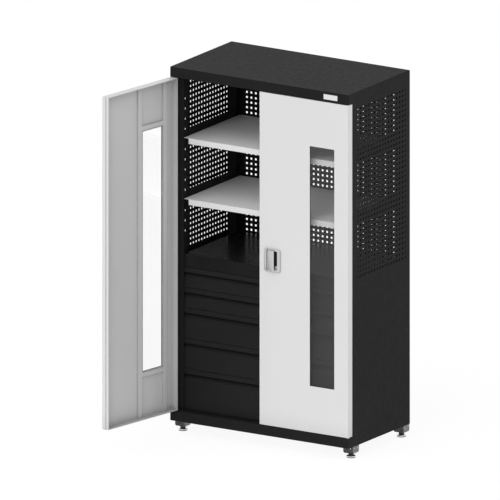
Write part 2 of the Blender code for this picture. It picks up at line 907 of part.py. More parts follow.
def make_drawer(column, number):
    """A drawer: folded front with a full-width grip, welded to an open tray."""
    row_top, row_bottom = row_levels()[number - 1]
    front_span, tray_span = drawer_span(column)
    top = row_top - DRAWER_GAP / 2
    bottom = row_bottom + DRAWER_GAP / 2
    path = drawer_front_path(top, bottom)
    path.reverse()
    name = f"drawer_{column}_{number}"
    drawer = folded_sheet(name, path, front_span, TRAY_SHEET, "YZ")
    tray_bottom = row_bottom + LEDGE_HEIGHT + LEDGE_THICKNESS + FIT
    tray_front = DRAWER_FRONT + GRIP_DEPTH - TRAY_SHEET / 2
    tray_rear = BLOCK_REAR - DRAWER_REAR_GAP
    tray = box(
        f"{name}_tray",
        (tray_span[0], tray_front, tray_bottom),
        (tray_span[1], tray_rear, top - TRAY_TOP_GAP),
    )
    join(drawer, tray)
    cut(
        drawer,
        box(
            f"{name}_hollow_cutter",
            (tray_span[0] + TRAY_SHEET, tray_front + TRAY_SHEET, tray_bottom + TRAY_SHEET),
            (tray_span[1] - TRAY_SHEET, tray_rear - TRAY_SHEET, top + TRAY_SHEET),
        ),
    )
    give_finish(drawer, BLACK_DRAWER_PAINT)
    return hang(drawer, DATUM)


# Doors


def door_x(side, from_hinge_edge):
    """A place across a closed door, measured from its hinged edge."""
    return mirror_x(DOOR_SIDE_GAP + from_hinge_edge, side)


def door_pivot(side):
    return Vector((mirror_x(HINGE_INSET, side), HINGE_INSET, 0.0))


DOOR_FRAMES = {
    "left": new_frame("door_left_axis", door_pivot("left"), DATUM, -LEFT_DOOR_OPEN),
    "right": new_frame("door_right_axis", door_pivot("right"), DATUM),
}


def on_door(obj, side, finish):
    give_finish(obj, finish)
    return hang(obj, DOOR_FRAMES[side], door_pivot(side))


def make_door_leaf(side):
    """A folded tray: skin, deep flanges, a stepped meeting edge and inner lips."""
    name = f"door_{side}_leaf"
    leaf = box(
        name, (door_x(side, 0.0), 0.0, DOOR_BOTTOM), (door_x(side, DOOR_WIDTH), DOOR_THICKNESS, DOOR_TOP)
    )
    round_edges(leaf, EDGE_RADIUS)
    meeting = DOOR_WIDTH - REBATE_STEP
    cut(
        leaf,
        box(
            f"{name}_rebate_cutter",
            (door_x(side, meeting), REBATE_START, DOOR_BOTTOM - BODY_SHEET),
            (door_x(side, DOOR_WIDTH + BODY_SHEET), DOOR_THICKNESS + BODY_SHEET, DOOR_TOP + BODY_SHEET),
        ),
    )
    cut(
        leaf,
        box(
            f"{name}_front_hollow_cutter",
            (door_x(side, BODY_SHEET), BODY_SHEET, DOOR_BOTTOM + BODY_SHEET),
            (
                door_x(side, DOOR_WIDTH - BODY_SHEET),
                REBATE_START - BODY_SHEET,
                DOOR_TOP - BODY_SHEET,
            ),
        ),
    )
    cut(
        leaf,
        box(
            f"{name}_rear_hollow_cutter",
            (door_x(side, BODY_SHEET), 2 * BODY_SHEET, DOOR_BOTTOM + BODY_SHEET),
            (
                door_x(side, meeting - BODY_SHEET),
                DOOR_THICKNESS - BODY_SHEET,
                DOOR_TOP - BODY_SHEET,
            ),
        ),
    )
    cut(
        leaf,
        box(
            f"{name}_lip_cutter",
            (door_x(side, DOOR_LIP), DOOR_THICKNESS - 2 * BODY_SHEET, DOOR_BOTTOM + DOOR_LIP),
            (
                door_x(side, meeting - DOOR_LIP),
                DOOR_THICKNESS + BODY_SHEET,
                DOOR_TOP - DOOR_LIP,
            ),
        ),
    )
    cut(
        leaf,
        box(
            f"{name}_window_cutter",
            (door_x(side, WINDOW_FROM_HINGE), -BODY_SHEET, WINDOW_LOW),
            (door_x(side, WINDOW_FROM_HINGE + WINDOW_WIDTH), 2 * BODY_SHEET, WINDOW_HIGH),
        ),
    )
    for end, level in (("bottom", DOOR_BOTTOM), ("top", DOOR_TOP)):
        hole = cylinder(
            f"{name}_{end}_pin_hole_cutter",
            (door_x(side, HINGE_INSET - DOOR_SIDE_GAP), HINGE_INSET, level),
            PIN_RADIUS + HOLE_CLEARANCE,
            4 * BODY_SHEET,
            steps=SMALL_ROUND_STEPS,
        )
        cut(leaf, hole)
        if side == "right":
            cut(leaf, rod_hole(f"{name}_{end}_rod_hole_cutter", level))
    if side == "right":
        cut(leaf, handle_hole_cutter())
    return on_door(leaf, side, PALE_PAINT)


def handle_hole_cutter():
    low, high = cup_outer_corners()
    barrel_x, barrel_z = barrel_place()
    reach = BARREL_RADIUS + HOLE_CLEARANCE + FIT
    return box(
        "door_right_handle_hole_cutter",
        (low[0] - FIT, -BODY_SHEET, barrel_z - reach),
        (max(high[0], barrel_x + reach) + FIT, 2 * BODY_SHEET, high[2] + FIT),
    )


def ladder_loops(side, inset):
    """The stiffening frame's outline: two full-height bars and a cross bar at each window end."""
    near_outer = WINDOW_FROM_HINGE - FRAME_SETBACK - FRAME_SIDE_WIDTH + inset
    near_inner = WINDOW_FROM_HINGE - FRAME_SETBACK - inset
    far_inner = WINDOW_FROM_HINGE + WINDOW_WIDTH + FRAME_SETBACK + inset
    far_outer = WINDOW_FROM_HINGE + WINDOW_WIDTH + FRAME_SETBACK + FRAME_SIDE_WIDTH - inset
    bottom = DOOR_BOTTOM + BODY_SHEET + FIT + inset
    top = DOOR_TOP - BODY_SHEET - FIT - inset
    cross_low = WINDOW_LOW - FRAME_SETBACK - FRAME_CROSS_WIDTH + inset
    hole_low = WINDOW_LOW - FRAME_SETBACK - inset
    hole_high = WINDOW_HIGH + FRAME_SETBACK + inset
    cross_high = WINDOW_HIGH + FRAME_SETBACK + FRAME_CROSS_WIDTH - inset
    outer = [
        (near_outer, bottom),
        (near_inner, bottom),
        (near_inner, cross_low),
        (far_inner, cross_low),
        (far_inner, bottom),
        (far_outer, bottom),
        (far_outer, top),
        (far_inner, top),
        (far_inner, cross_high),
        (near_inner, cross_high),
        (near_inner, top),
        (near_outer, top),
    ]
    hole = [
        (near_inner, hole_low),
        (near_inner, hole_high),
        (far_inner, hole_high),
        (far_inner, hole_low),
    ]
    return [[(door_x(side, u), z) for u, z in loop] for loop in (outer, hole)]


def pane_stack():
    """The depths of the seal's front, the pane's front and the pane's back, behind the skin."""
    seal_front = BODY_SHEET + FIT
    pane_front = seal_front + SEAL_THICKNESS + FIT
    return seal_front, pane_front, pane_front + PANE_THICKNESS


def make_door_frame(side):
    """The stiffening frame: an open channel that also clamps the pane's edges."""
    name = f"door_{side}_frame"
    base = BODY_SHEET + FIT
    face = base + FRAME_RISE
    frame = outline_solid(name, ladder_loops(side, 0.0), (base, face), "XZ")
    channel = outline_solid(
        f"{name}_channel_cutter",
        ladder_loops(side, TRAY_SHEET),
        (base - BODY_SHEET, face - TRAY_SHEET),
        "XZ",
    )
    cut(frame, channel)
    reach = max(PANE_OVERLAP, SEAL_OVERLAP) + PANE_POCKET_GAP
    cut(
        frame,
        box(
            f"{name}_pane_pocket_cutter",
            (door_x(side, WINDOW_FROM_HINGE - reach), 0.0, WINDOW_LOW - reach),
            (
                door_x(side, WINDOW_FROM_HINGE + WINDOW_WIDTH + reach),
                pane_stack()[2] + FIT,
                WINDOW_HIGH + reach,
            ),
        ),
    )
    return on_door(frame, side, PALE_PAINT)


def window_box(side, margin, depths):
    """Two corners of a box that covers the window and a margin round it."""
    return (
        (door_x(side, WINDOW_FROM_HINGE - margin), depths[0], WINDOW_LOW - margin),
        (
            door_x(side, WINDOW_FROM_HINGE + WINDOW_WIDTH + margin),
            depths[1],
            WINDOW_HIGH + margin,
        ),
    )


def make_window_seal(side):
    front, pane_front, _ = pane_stack()
    seal = box(f"window_{side}_seal", *window_box(side, SEAL_OVERLAP, (front, pane_front - FIT)))
    sight = window_box(side, -SEAL_INTRUSION, (0.0, pane_front + FIT))
    cut(seal, box(f"window_{side}_seal_cutter", *sight))
    return on_door(seal, side, BLACK_RUBBER)


def make_window_pane(side):
    _, front, back = pane_stack()
    pane = box(f"window_{side}_pane", *window_box(side, PANE_OVERLAP, (front, back)))
    return on_door(pane, side, CLEAR_PANE)


def make_hinge_pin(side, end):
    """A pin with a collar in the gap between the body and the door."""
    if end == "top":
        body_face, door_face, inwards = FASCIA_BOTTOM, DOOR_TOP, 1
    else:
        body_face, door_face, inwards = DECK_TOP, DOOR_BOTTOM, -1
    levels = sorted(
        [
            (body_face + inwards * PIN_REACH / 2, 0.0, PIN_RADIUS),
            (body_face - inwards * FIT, PIN_RADIUS, PIN_COLLAR_RADIUS),
            (door_face + inwards * FIT, PIN_COLLAR_RADIUS, PIN_RADIUS),
            (door_face - inwards * PIN_REACH, PIN_RADIUS, 0.0),
        ],
        reverse=True,
    )
    profile = []
    for level, first, second in levels:
        pair = (first, second) if inwards == 1 else (second, first)
        profile += [(pair[0], level), (pair[1], level)]
    pivot = door_pivot(side)
    pin = turned(f"hinge_pin_{side}_{end}", profile, pivot, SMALL_ROUND_STEPS)
    return fixed(pin, BRIGHT_STEEL)


# Handle and lock


def cup_corners(margin):
    """The finger cup's hollow, or its outside where a wall is the margin."""
    high_x = HANDLE_RIGHT - CUP_RIGHT_BORDER
    high_z = HANDLE_HIGH - CUP_TOP_BORDER
    return (
        (high_x - CUP_WIDTH - margin, -FIT, high_z - CUP_LENGTH - margin),
        (high_x + margin, CUP_DEPTH, high_z + margin),
    )


def cup_outer_corners():
    return cup_corners(TRAY_SHEET)


def barrel_place():
    """The key barrel's centre, at the right of the plate under the finger cup."""
    return HANDLE_RIGHT - CUP_RIGHT_BORDER - BARREL_RADIUS, HANDLE_LOW + BARREL_ABOVE_BOTTOM


def lever_pivot():
    depth = -FIT - HANDLE_THICKNESS - FIT - LEVER_KNUCKLE
    return Vector((HANDLE_LEFT + LEVER_HINGE_INSET, depth, 0.0))


def rounded_rectangle(left, right, bottom, top, radius, steps=4):
    """The corners of a rectangle, each replaced by an arc."""
    points = []
    centres = (
        (right - radius, top - radius, 0.0),
        (left + radius, top - radius, 0.25),
        (left + radius, bottom + radius, 0.5),
        (right - radius, bottom + radius, 0.75),
    )
    for x, z, start in centres:
        for step in range(steps + 1):
            angle = FULL_TURN * (start + 0.25 * step / steps)
            points.append((x + radius * math.cos(angle), z + radius * math.sin(angle)))
    return points


def make_handle_plate():
    """The flush handle's plate, with its finger cup and the ears that hold the lever."""
    outline = rounded_rectangle(HANDLE_LEFT, HANDLE_RIGHT, HANDLE_LOW, HANDLE_HIGH, HANDLE_CORNER)
    plate = outline_solid("handle_plate", [outline], (-FIT - HANDLE_THICKNESS, -FIT), "XZ")
    round_edges(plate, EDGE_RADIUS, 2)
    low, high = cup_outer_corners()
    join(plate, box("handle_cup", (low[0], -FIT - HANDLE_THICKNESS / 2, low[2]), high))
    hollow_low, hollow_high = cup_corners(0.0)
    cut(
        plate,
        box(
            "handle_cup_cutter",
            (hollow_low[0], -2 * HANDLE_THICKNESS, hollow_low[2]),
            (hollow_high[0], CUP_DEPTH - TRAY_SHEET, hollow_high[2]),
        ),
    )
    barrel_x, barrel_z = barrel_place()
    cut(
        plate,
        cylinder(
            "barrel_hole_cutter",
            (barrel_x, 0.0, barrel_z),
            BARREL_RADIUS + HOLE_CLEARANCE,
            2 * BARREL_LENGTH,
            axis="Y",
        ),
    )
    pivot = lever_pivot()
    ears = []
    for start, side in ((LEVER_LOW - FIT, -1), (LEVER_HIGH + FIT, 1)):
        ears.append(
            (
                (pivot.x - LEVER_KNUCKLE, pivot.y - LEVER_KNUCKLE, start),
                (pivot.x + LEVER_KNUCKLE, -FIT - HANDLE_THICKNESS / 2, start + side * EAR_LENGTH),
            )
        )
    join(plate, boxes("handle_ears", ears))
    return on_door(plate, "right", CAST_SILVER)


def lever_front(share):
    """The depth of the lever's crowned front, at a share of its reach from the knuckle."""
    pivot = lever_pivot()
    return pivot.y - LEVER_KNUCKLE - (LEVER_RISE - LEVER_KNUCKLE) * math.sin(math.pi / 2 * share)


def lever_outline():
    """The lever in plan: a round knuckle, a crowned front and a rolled pulling edge."""
    pivot = lever_pivot()
    points = []
    for step in range(KNUCKLE_STEPS + 1):
        angle = FULL_TURN * (0.25 + 0.5 * step / KNUCKLE_STEPS)
        points.append(
            (pivot.x + LEVER_KNUCKLE * math.cos(angle), pivot.y + LEVER_KNUCKLE * math.sin(angle))
        )
    for step in range(1, CROWN_STEPS):
        share = step / CROWN_STEPS
        points.append((pivot.x + LEVER_REACH * share, lever_front(share)))
    roll = LEVER_EDGE / 2
    roll_x = pivot.x + LEVER_REACH - roll
    roll_y = pivot.y - LEVER_RISE + roll
    for step in range(PULL_EDGE_STEPS + 1):
        angle = FULL_TURN * (-0.25 + 0.5 * step / PULL_EDGE_STEPS)
        points.append((roll_x + roll * math.cos(angle), roll_y + roll * math.sin(angle)))
    for step in range(CROWN_STEPS - 2, 0, -1):
        share = step / CROWN_STEPS
        points.append((pivot.x + LEVER_REACH * share, lever_front(share) + LEVER_EDGE))
    return points


def make_handle_lever():
    frame = new_frame("handle_lever_axis", lever_pivot() - door_pivot("right"), DOOR_FRAMES["right"])
    lever = outline_solid("handle_lever", [lever_outline()], (LEVER_LOW, LEVER_HIGH), "XY")
    give_finish(lever, CAST_SILVER)
    smooth_round(lever)
    return hang(lever, frame, lever_pivot())


def make_key_barrel():
    x, z = barrel_place()
    front = -FIT - HANDLE_THICKNESS - BARREL_PROUD
    place = Vector((x, front + BARREL_LENGTH / 2, z))
    frame = new_frame("key_barrel_axis", place - door_pivot("right"), DOOR_FRAMES["right"])
    barrel = cylinder("key_barrel", place, BARREL_RADIUS, BARREL_LENGTH, axis="Y")
    round_edges(barrel, EDGE_RADIUS / 2)
    cut(
        barrel,
        box(
            "keyway_cutter",
            (x - KEYWAY_WIDTH / 2, front - KEYWAY_DEPTH, z - KEYWAY_LENGTH / 2),
            (x + KEYWAY_WIDTH / 2, front + KEYWAY_DEPTH, z + KEYWAY_LENGTH / 2),
        ),
    )
    give_finish(barrel, BRIGHT_STEEL)
    smooth_round(barrel)
    return hang(barrel, frame, place)


def lock_case_corners():
    """The lock case's outside: it covers the cup, the barrel and the rods' ends from behind."""
    low, high = cup_outer_corners()
    barrel_x, barrel_z = barrel_place()
    right = max(high[0], barrel_x + BARREL_RADIUS)
    rear = ROD_Y + ROD_RADIUS + LOCK_CASE_GAP + BODY_SHEET
    return (
        (low[0] - LOCK_CASE_BORDER, BODY_SHEET + FIT, barrel_z - BARREL_RADIUS - LOCK_CASE_BORDER),
        (right + LOCK_CASE_BORDER, rear, high[2] + LOCK_CASE_BORDER),
    )


def make_lock_case():
    """The cover of the lock works: a tray with its open side to the door skin."""
    low, high = lock_case_corners()
    case = box("lock_case", low, high)
    cut(
        case,
        box(
            "lock_case_cutter",
            (low[0] + BODY_SHEET, low[1] - BODY_SHEET, low[2] + BODY_SHEET),
            (high[0] - BODY_SHEET, high[1] - BODY_SHEET, high[2] - BODY_SHEET),
        ),
    )
    for end, level in (("lower", low[2]), ("upper", high[2])):
        cut(case, rod_hole(f"lock_case_{end}_cutter", level))
    return on_door(case, "right", DARK_STEEL)


def make_lock_rod(end):
    """A rod from the lock case to the door's edge, drawn in at rest."""
    low, high = lock_case_corners()
    if end == "upper":
        start, stop = high[2] - BODY_SHEET - ROD_IN_CASE, DOOR_TOP - ROD_END_GAP
    else:
        start, stop = DOOR_BOTTOM + ROD_END_GAP, low[2] + BODY_SHEET + ROD_IN_CASE
    rod = cylinder(
        f"lock_rod_{end}",
        (ROD_X, ROD_Y, (start + stop) / 2),
        ROD_RADIUS,
        stop - start,
        steps=SMALL_ROUND_STEPS,
    )
    smooth_round(rod)
    return on_door(rod, "right", BRIGHT_STEEL)


# Feet


def foot_places():
    """Plan places of the four feet, by corner."""
    offset = BRACKET_SIZE / 2 + BRACKET_INSET
    places = {}
    for row, y in (("front", FRONT_PLANE + FIT + offset), ("rear", CABINET_DEPTH - offset)):
        for side in ("left", "right"):
            places[f"{row}_{side}"] = (mirror_x(offset, side), y)
    return places


def make_foot_bracket(corner):
    """A square plate under the body's corner with four flanges turned down, open at the corners."""
    x, y = foot_places()[corner]
    top = BODY_BOTTOM - FIT
    half = BRACKET_SIZE / 2
    bracket = box(
        f"foot_bracket_{corner}",
        (x - half, y - half, top - BRACKET_WALL),
        (x + half, y + half, top),
    )
    low = top - BRACKET_HEIGHT
    reach = half - BRACKET_SLIT
    for direction in (-1, 1):
        inner = half - BRACKET_WALL
        for plane, middle, centre in (("XZ", x, y), ("YZ", y, x)):
            outline = [
                (middle - reach, top - BRACKET_WALL / 2),
                (middle - reach, low + BRACKET_CHAMFER),
                (middle - reach + BRACKET_CHAMFER, low),
                (middle + reach - BRACKET_CHAMFER, low),
                (middle + reach, low + BRACKET_CHAMFER),
                (middle + reach, top - BRACKET_WALL / 2),
            ]
            span = (centre + direction * inner, centre + direction * half)
            name = f"flange_{corner}_{plane}_{direction + 1}"
            join(bracket, outline_solid(name, [outline], span, plane))
    cut(bracket, spindle_hole(f"bracket_{corner}_cutter", (x, y)))
    return fixed(bracket, ZINC)


def make_levelling_foot(corner):
    """A screw-in foot: disc, hexagon-sized collar and spindle in one turned piece."""
    x, y = foot_places()[corner]
    spindle_top = BODY_BOTTOM + SPINDLE_ABOVE_BRACKET
    nut_top = FOOT_DISC_HEIGHT + FOOT_NUT_HEIGHT
    profile = [
        (0.0, spindle_top),
        (SPINDLE_RADIUS - FOOT_EDGE, spindle_top),
        (SPINDLE_RADIUS, spindle_top - FOOT_EDGE),
        (SPINDLE_RADIUS, nut_top),
        (FOOT_NUT_RADIUS - FOOT_EDGE, nut_top),
        (FOOT_NUT_RADIUS, nut_top - FOOT_EDGE),
        (FOOT_NUT_RADIUS, FOOT_DISC_HEIGHT),
        (FOOT_DISC_RADIUS - FOOT_EDGE, FOOT_DISC_HEIGHT - FOOT_EDGE),
        (FOOT_DISC_RADIUS, FOOT_DISC_HEIGHT - 2 * FOOT_EDGE),
        (FOOT_DISC_RADIUS, FOOT_EDGE),
        (FOOT_DISC_RADIUS - FOOT_EDGE, 0.0),
        (0.0, 0.0),
    ]
    foot = turned(f"levelling_foot_{corner}", profile, (x, y, 0.0), SMALL_ROUND_STEPS)
    give_finish(foot, BRIGHT_STEEL)
    return hang(foot, DATUM)


def make_body():
    make_roof()
    make_floor_tray()
    make_back_panel()
    make_blank_plate()
    for side in ("left", "right"):
        make_side_panel(side)
        for row in ("front", "rear"):
            make_post(row, side)
    for corner in foot_places():
        make_foot_bracket(corner)
        make_levelling_foot(corner)


def make_inside():
    for level in SHELF_SLOTS:
        make_shelf(level)
        for side in ("left", "right"):
            make_shelf_rail(level, side)
    make_block_top()
    make_block_divider()
    for side in ("left", "right"):
        make_block_side(side)
        for number in range(1, len(DRAWER_ROWS) + 1):
            make_drawer(side, number)


def make_doors():
    for side in ("left", "right"):
        make_door_leaf(side)
        make_door_frame(side)
        make_window_seal(side)
        make_window_pane(side)
        for end in ("top", "bottom"):
            make_hinge_pin(side, end)
    make_handle_plate()
    make_handle_lever()
    make_key_barrel()
    make_lock_case()
    for end in ("upper", "lower"):
        make_lock_rod(end)


make_body()
make_inside()
make_doors()
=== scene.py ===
# %% [markdown]
# # A steel tool cabinet, dressed for its photograph
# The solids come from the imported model: folded sheets, shelves, drawers, two doors, four feet.
# This lesson gives them their finishes and builds the pieces that the plain solids leave out: the
# punched walls, the screws, the handle's rounded castings, the threaded feet. Sizes are in metres,
# and most pieces are placed from the solids' own boxes, so that a change in the model moves them
# with it.

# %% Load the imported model
import bmesh
import bpy
from math import acos, cos, pi, radians, sin
from mathutils import Matrix, Vector


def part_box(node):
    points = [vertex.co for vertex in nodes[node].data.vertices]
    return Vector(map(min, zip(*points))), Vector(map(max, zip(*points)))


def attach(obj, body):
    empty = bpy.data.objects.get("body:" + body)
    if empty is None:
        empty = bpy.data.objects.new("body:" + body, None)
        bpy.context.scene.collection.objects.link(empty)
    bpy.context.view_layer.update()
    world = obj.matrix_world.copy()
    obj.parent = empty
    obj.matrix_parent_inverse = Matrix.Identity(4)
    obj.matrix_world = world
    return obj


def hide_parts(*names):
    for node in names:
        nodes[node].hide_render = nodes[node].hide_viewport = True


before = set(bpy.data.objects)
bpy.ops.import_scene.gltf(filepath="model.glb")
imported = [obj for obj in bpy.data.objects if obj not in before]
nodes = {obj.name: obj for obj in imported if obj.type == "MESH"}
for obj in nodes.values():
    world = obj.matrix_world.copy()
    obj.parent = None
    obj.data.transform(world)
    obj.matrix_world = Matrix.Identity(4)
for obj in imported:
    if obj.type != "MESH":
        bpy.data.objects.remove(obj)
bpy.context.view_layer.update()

# %% [markdown]
# ## Camera
# The photograph shows no perspective: the cabinet's parallel edges stay parallel. An orthographic
# camera does the same. It looks from the front right, 32 degrees round and 15 degrees up, and its
# scale is the width of the picture in metres. A long lens far away would look nearly the same, but
# parallel edges would still lean a little.

# %% Place the camera
VIEW_TURN = radians(32.0)
VIEW_RISE = radians(15.0)
VIEW_WIDTH = 2.376
VIEW_CENTRE = Vector((-0.1814, 0.2390, 0.874))
VIEW_DISTANCE = 8.0


def in_scene(name, data):
    """A new object that holds this data, put into the scene."""
    item = bpy.data.objects.new(name, data)
    bpy.context.scene.collection.objects.link(item)
    return item


towards_camera = Vector(
    (sin(VIEW_TURN) * cos(VIEW_RISE), -cos(VIEW_TURN) * cos(VIEW_RISE), sin(VIEW_RISE))
)
camera_data = bpy.data.cameras.new("photo_camera")
camera_data.type = "ORTHO"
camera_data.ortho_scale = VIEW_WIDTH
camera = in_scene("photo_camera", camera_data)
camera.location = VIEW_CENTRE + VIEW_DISTANCE * towards_camera
camera.rotation_euler = towards_camera.to_track_quat("Z", "Y").to_euler()
bpy.context.scene.camera = camera
bpy.context.scene.view_settings.view_transform = "Standard"
print("camera at", tuple(round(value, 3) for value in camera.location))

# %% [markdown]
# ## Helpers for node trees
# Materials and Geometry Nodes are both trees of nodes. One short helper adds a node, sets its
# options, and fills its inputs either with a plain value or with another node's output. A second
# one gives the new node's first output, which is what the next node mostly asks for. Every output
# knows the tree that it belongs to, so the helpers for sums and mixes don't have to be told. A
# tree then reads one line a node.


# %% Add a node in one line
def fill(node, inputs):
    """Fills a node's inputs with plain values or with other nodes' outputs."""
    for key, value in inputs.items():
        if isinstance(value, bpy.types.NodeSocket):
            node.id_data.links.new(value, node.inputs[key])
        else:
            node.inputs[key].default_value = value


def add(tree, kind, inputs, **options):
    """Adds a node, sets its options and fills its inputs."""
    node = tree.nodes.new(kind)
    for option, value in options.items():
        setattr(node, option, value)
    fill(node, inputs)
    return node


def made(tree, kind, inputs, **options):
    """Adds a node and gives its first output."""
    return add(tree, kind, inputs, **options).outputs[0]


def worked_out(operation, first, second):
    """The result of one sum; the first value is another node's output."""
    return made(first.id_data, "ShaderNodeMath", {0: first, 1: second}, operation=operation)


def times(first, second):
    return worked_out("MULTIPLY", first, second)


def mixed(share, first, second):
    """A colour between two, nearer to the second the larger the share."""
    inputs = {0: share, 6: first, 7: second}
    return add(share.id_data, "ShaderNodeMix", inputs, data_type="RGBA").outputs[2]


def grey(value):
    return (value, value, value, 1.0)


# %% [markdown]
# ## Studio: floor, backdrop and light
# The photograph's ground is pure white, with no horizon. A white world does that for rays that
# come from the camera, from a reflection or through the panes, while the light that falls on the
# cabinet stays at a plain level. Turning the lamps up until the floor clips would work too, but it
# would burn out the pale doors. The floor mixes a white glow with an ordinary matt surface, so it
# still carries a soft shadow.

# %% Set up the white surroundings
AMBIENT_LEVEL = 0.53
FLOOR_GLOW = 0.88
FLOOR_WHITE = 1.05
FLOOR_MATT_TONE = 0.82
FLOOR_HALF = 30.0


def seen_directly(tree):
    """1 for rays from the camera, a reflection or a pane, 0 for rays that only gather light."""
    rays = tree.nodes.new("ShaderNodeLightPath").outputs
    first = worked_out("MAXIMUM", rays["Is Camera Ray"], rays["Is Glossy Ray"])
    return worked_out("MAXIMUM", first, rays["Is Transmission Ray"])


world = bpy.data.worlds.new("white_studio")
world.use_nodes = True
bpy.context.scene.world = world
sky = world.node_tree
backdrop_tone = mixed(seen_directly(sky), grey(AMBIENT_LEVEL), grey(1.0))
fill(sky.nodes["Background"], {"Color": backdrop_tone})

floor_mesh = bpy.data.meshes.new("studio_floor")
floor_corners = [
    (x * FLOOR_HALF, y * FLOOR_HALF, 0.0) for x, y in ((-1, -1), (1, -1), (1, 1), (-1, 1))
]
floor_mesh.from_pydata(floor_corners, [], [(0, 1, 2, 3)])
floor = in_scene("studio_floor", floor_mesh)
floor_finish = bpy.data.materials.new("studio_white")
floor_finish.use_nodes = True
tree = floor_finish.node_tree
matt = made(tree, "ShaderNodeBsdfDiffuse", {"Color": grey(FLOOR_MATT_TONE)})
glow = made(tree, "ShaderNodeEmission", {"Color": grey(1.0), "Strength": FLOOR_WHITE})
share = times(seen_directly(tree), FLOOR_GLOW)
floor_look = made(tree, "ShaderNodeMixShader", {0: share, 1: matt, 2: glow})
fill(tree.nodes["Material Output"], {"Surface": floor_look})
floor_mesh.materials.append(floor_finish)
print("floor", 2 * FLOOR_HALF, "m wide, ambient light", AMBIENT_LEVEL)

# %% [markdown]
# The doors' fronts are the brightest pale faces in the photograph and equally bright from top to
# bottom, so the main light cannot be a box that stands near: its light would fade downwards. A sun
# with a very wide disc works like a whole bright half of a studio, in front and above. The
# shelves' front edges catch it, their depths do not. A weaker box to the right and behind lifts
# the right-hand side, but cannot reach the inner side of the open door, which stays two steps
# darker in the photograph.


# %% Set the wide front light and the side box
CABINET_MIDDLE = Vector((0.0, 0.2, 0.95))
FRONT_LIGHT_LEVEL = 1.46
FRONT_LIGHT_SPREAD = radians(70.0)
FRONT_LIGHT_PLACE = Vector((-0.75, -4.2, 4.7))
SIDE_BOX_LEVEL = 56.0
SIDE_BOX_SIZE = (2.4, 3.0)
SIDE_BOX_PLACE = Vector((5.0, 2.6, 2.2))


def hung(name, kind, level, place):
    """A lamp that is aimed at the cabinet's middle and isn't mirrored in its paint."""
    light = bpy.data.lights.new(name, kind)
    light.energy = level
    lamp = in_scene(name, light)
    lamp.location = place
    lamp.rotation_euler = (place - CABINET_MIDDLE).to_track_quat("Z", "Y").to_euler()
    lamp.visible_glossy = False
    return light


front_light = hung("front_light", "SUN", FRONT_LIGHT_LEVEL, FRONT_LIGHT_PLACE)
front_light.angle = FRONT_LIGHT_SPREAD
side_box = hung("side_box", "AREA", SIDE_BOX_LEVEL, SIDE_BOX_PLACE)
side_box.shape = "RECTANGLE"
side_box.size, side_box.size_y = SIDE_BOX_SIZE

# %% [markdown]
# ## Building blocks for the finishes
# Each finish is one Principled shader fed by a few procedural patterns on Object coordinates. The
# sizes in those coordinates are metres, so a noise of scale 1000 has grains of about a millimetre.
# An image texture would need unwrapping, and it would stretch when a size changes; noise in space
# needs neither.


# %% Patterns that the finishes share
# Which part of a pattern's range is stretched: all of the middle, or only the brighter patches.
# The edge band is in cosines between the rounded normal and the true one.
BROAD_BAND = (0.3, 0.7)
PATCH_BAND = (0.45, 0.75)
EDGE_BAND = (0.995, 0.86)


def new_finish(name):
    finish = bpy.data.materials.new(name)
    finish.use_nodes = True
    tree = finish.node_tree
    place = tree.nodes.new("ShaderNodeTexCoord").outputs["Object"]
    return finish, tree, tree.nodes["Principled BSDF"], place


def noise(place, scale, detail=2.0):
    inputs = {"Vector": place, "Scale": scale, "Detail": detail}
    return made(place.id_data, "ShaderNodeTexNoise", inputs)


def remap(value, old, new=(0.0, 1.0)):
    limits = {"From Min": old[0], "From Max": old[1], "To Min": new[0], "To Max": new[1]}
    return made(value.id_data, "ShaderNodeMapRange", {"Value": value, **limits})


def true_normal(tree):
    return tree.nodes.new("ShaderNodeNewGeometry").outputs["True Normal"]


def soft_edges(tree, radius):
    """A rounded normal, and a mask that is 1 on a fold or a cut edge and 0 on the flat."""
    rounded = made(tree, "ShaderNodeBevel", {"Radius": radius}, samples=4)
    normals = {0: rounded, 1: true_normal(tree)}
    alike = add(tree, "ShaderNodeVectorMath", normals, operation="DOT_PRODUCT")
    return rounded, remap(alike.outputs["Value"], EDGE_BAND)


def bumped(height, normal, depth, strength):
    values = {"Height": height, "Normal": normal, "Strength": strength, "Distance": depth}
    return made(height.id_data, "ShaderNodeBump", values)


# %% [markdown]
# ## Powder coat
# The body, the drawers, the shelves and the doors are sprayed with dry powder and baked. The film
# is a little thicker in some places than in others, it dries to a fine orange peel, and it is
# thinnest on the folds, where cloths and boots rub it first. The pale paints also get painted
# shade: an ambient occlusion mask darkens their colour in inner corners, where shade falls. The
# same recipe makes every paint; tone, gloss and wear change. The wear stays faint, because the
# cabinet in the photograph is new. The drawer block's top is glossier: the photograph shows the
# wall's holes mirrored in it as faint upright streaks, so it has almost no peel.


# %% Mix the powder coats
# How far the ambient occlusion looks for the painted corner shade, in metres.
CORNER_SHADE_REACH = 0.20
FILM_SCALE = 2.6
GRAIN_SCALE = 1500.0
RUBBED_SCALE = 28.0
GLOSS_SCALE = 40.0
PEEL_SCALE = 420.0
PEEL_DEPTH = 0.0002
PAINT_EDGE = 0.0012


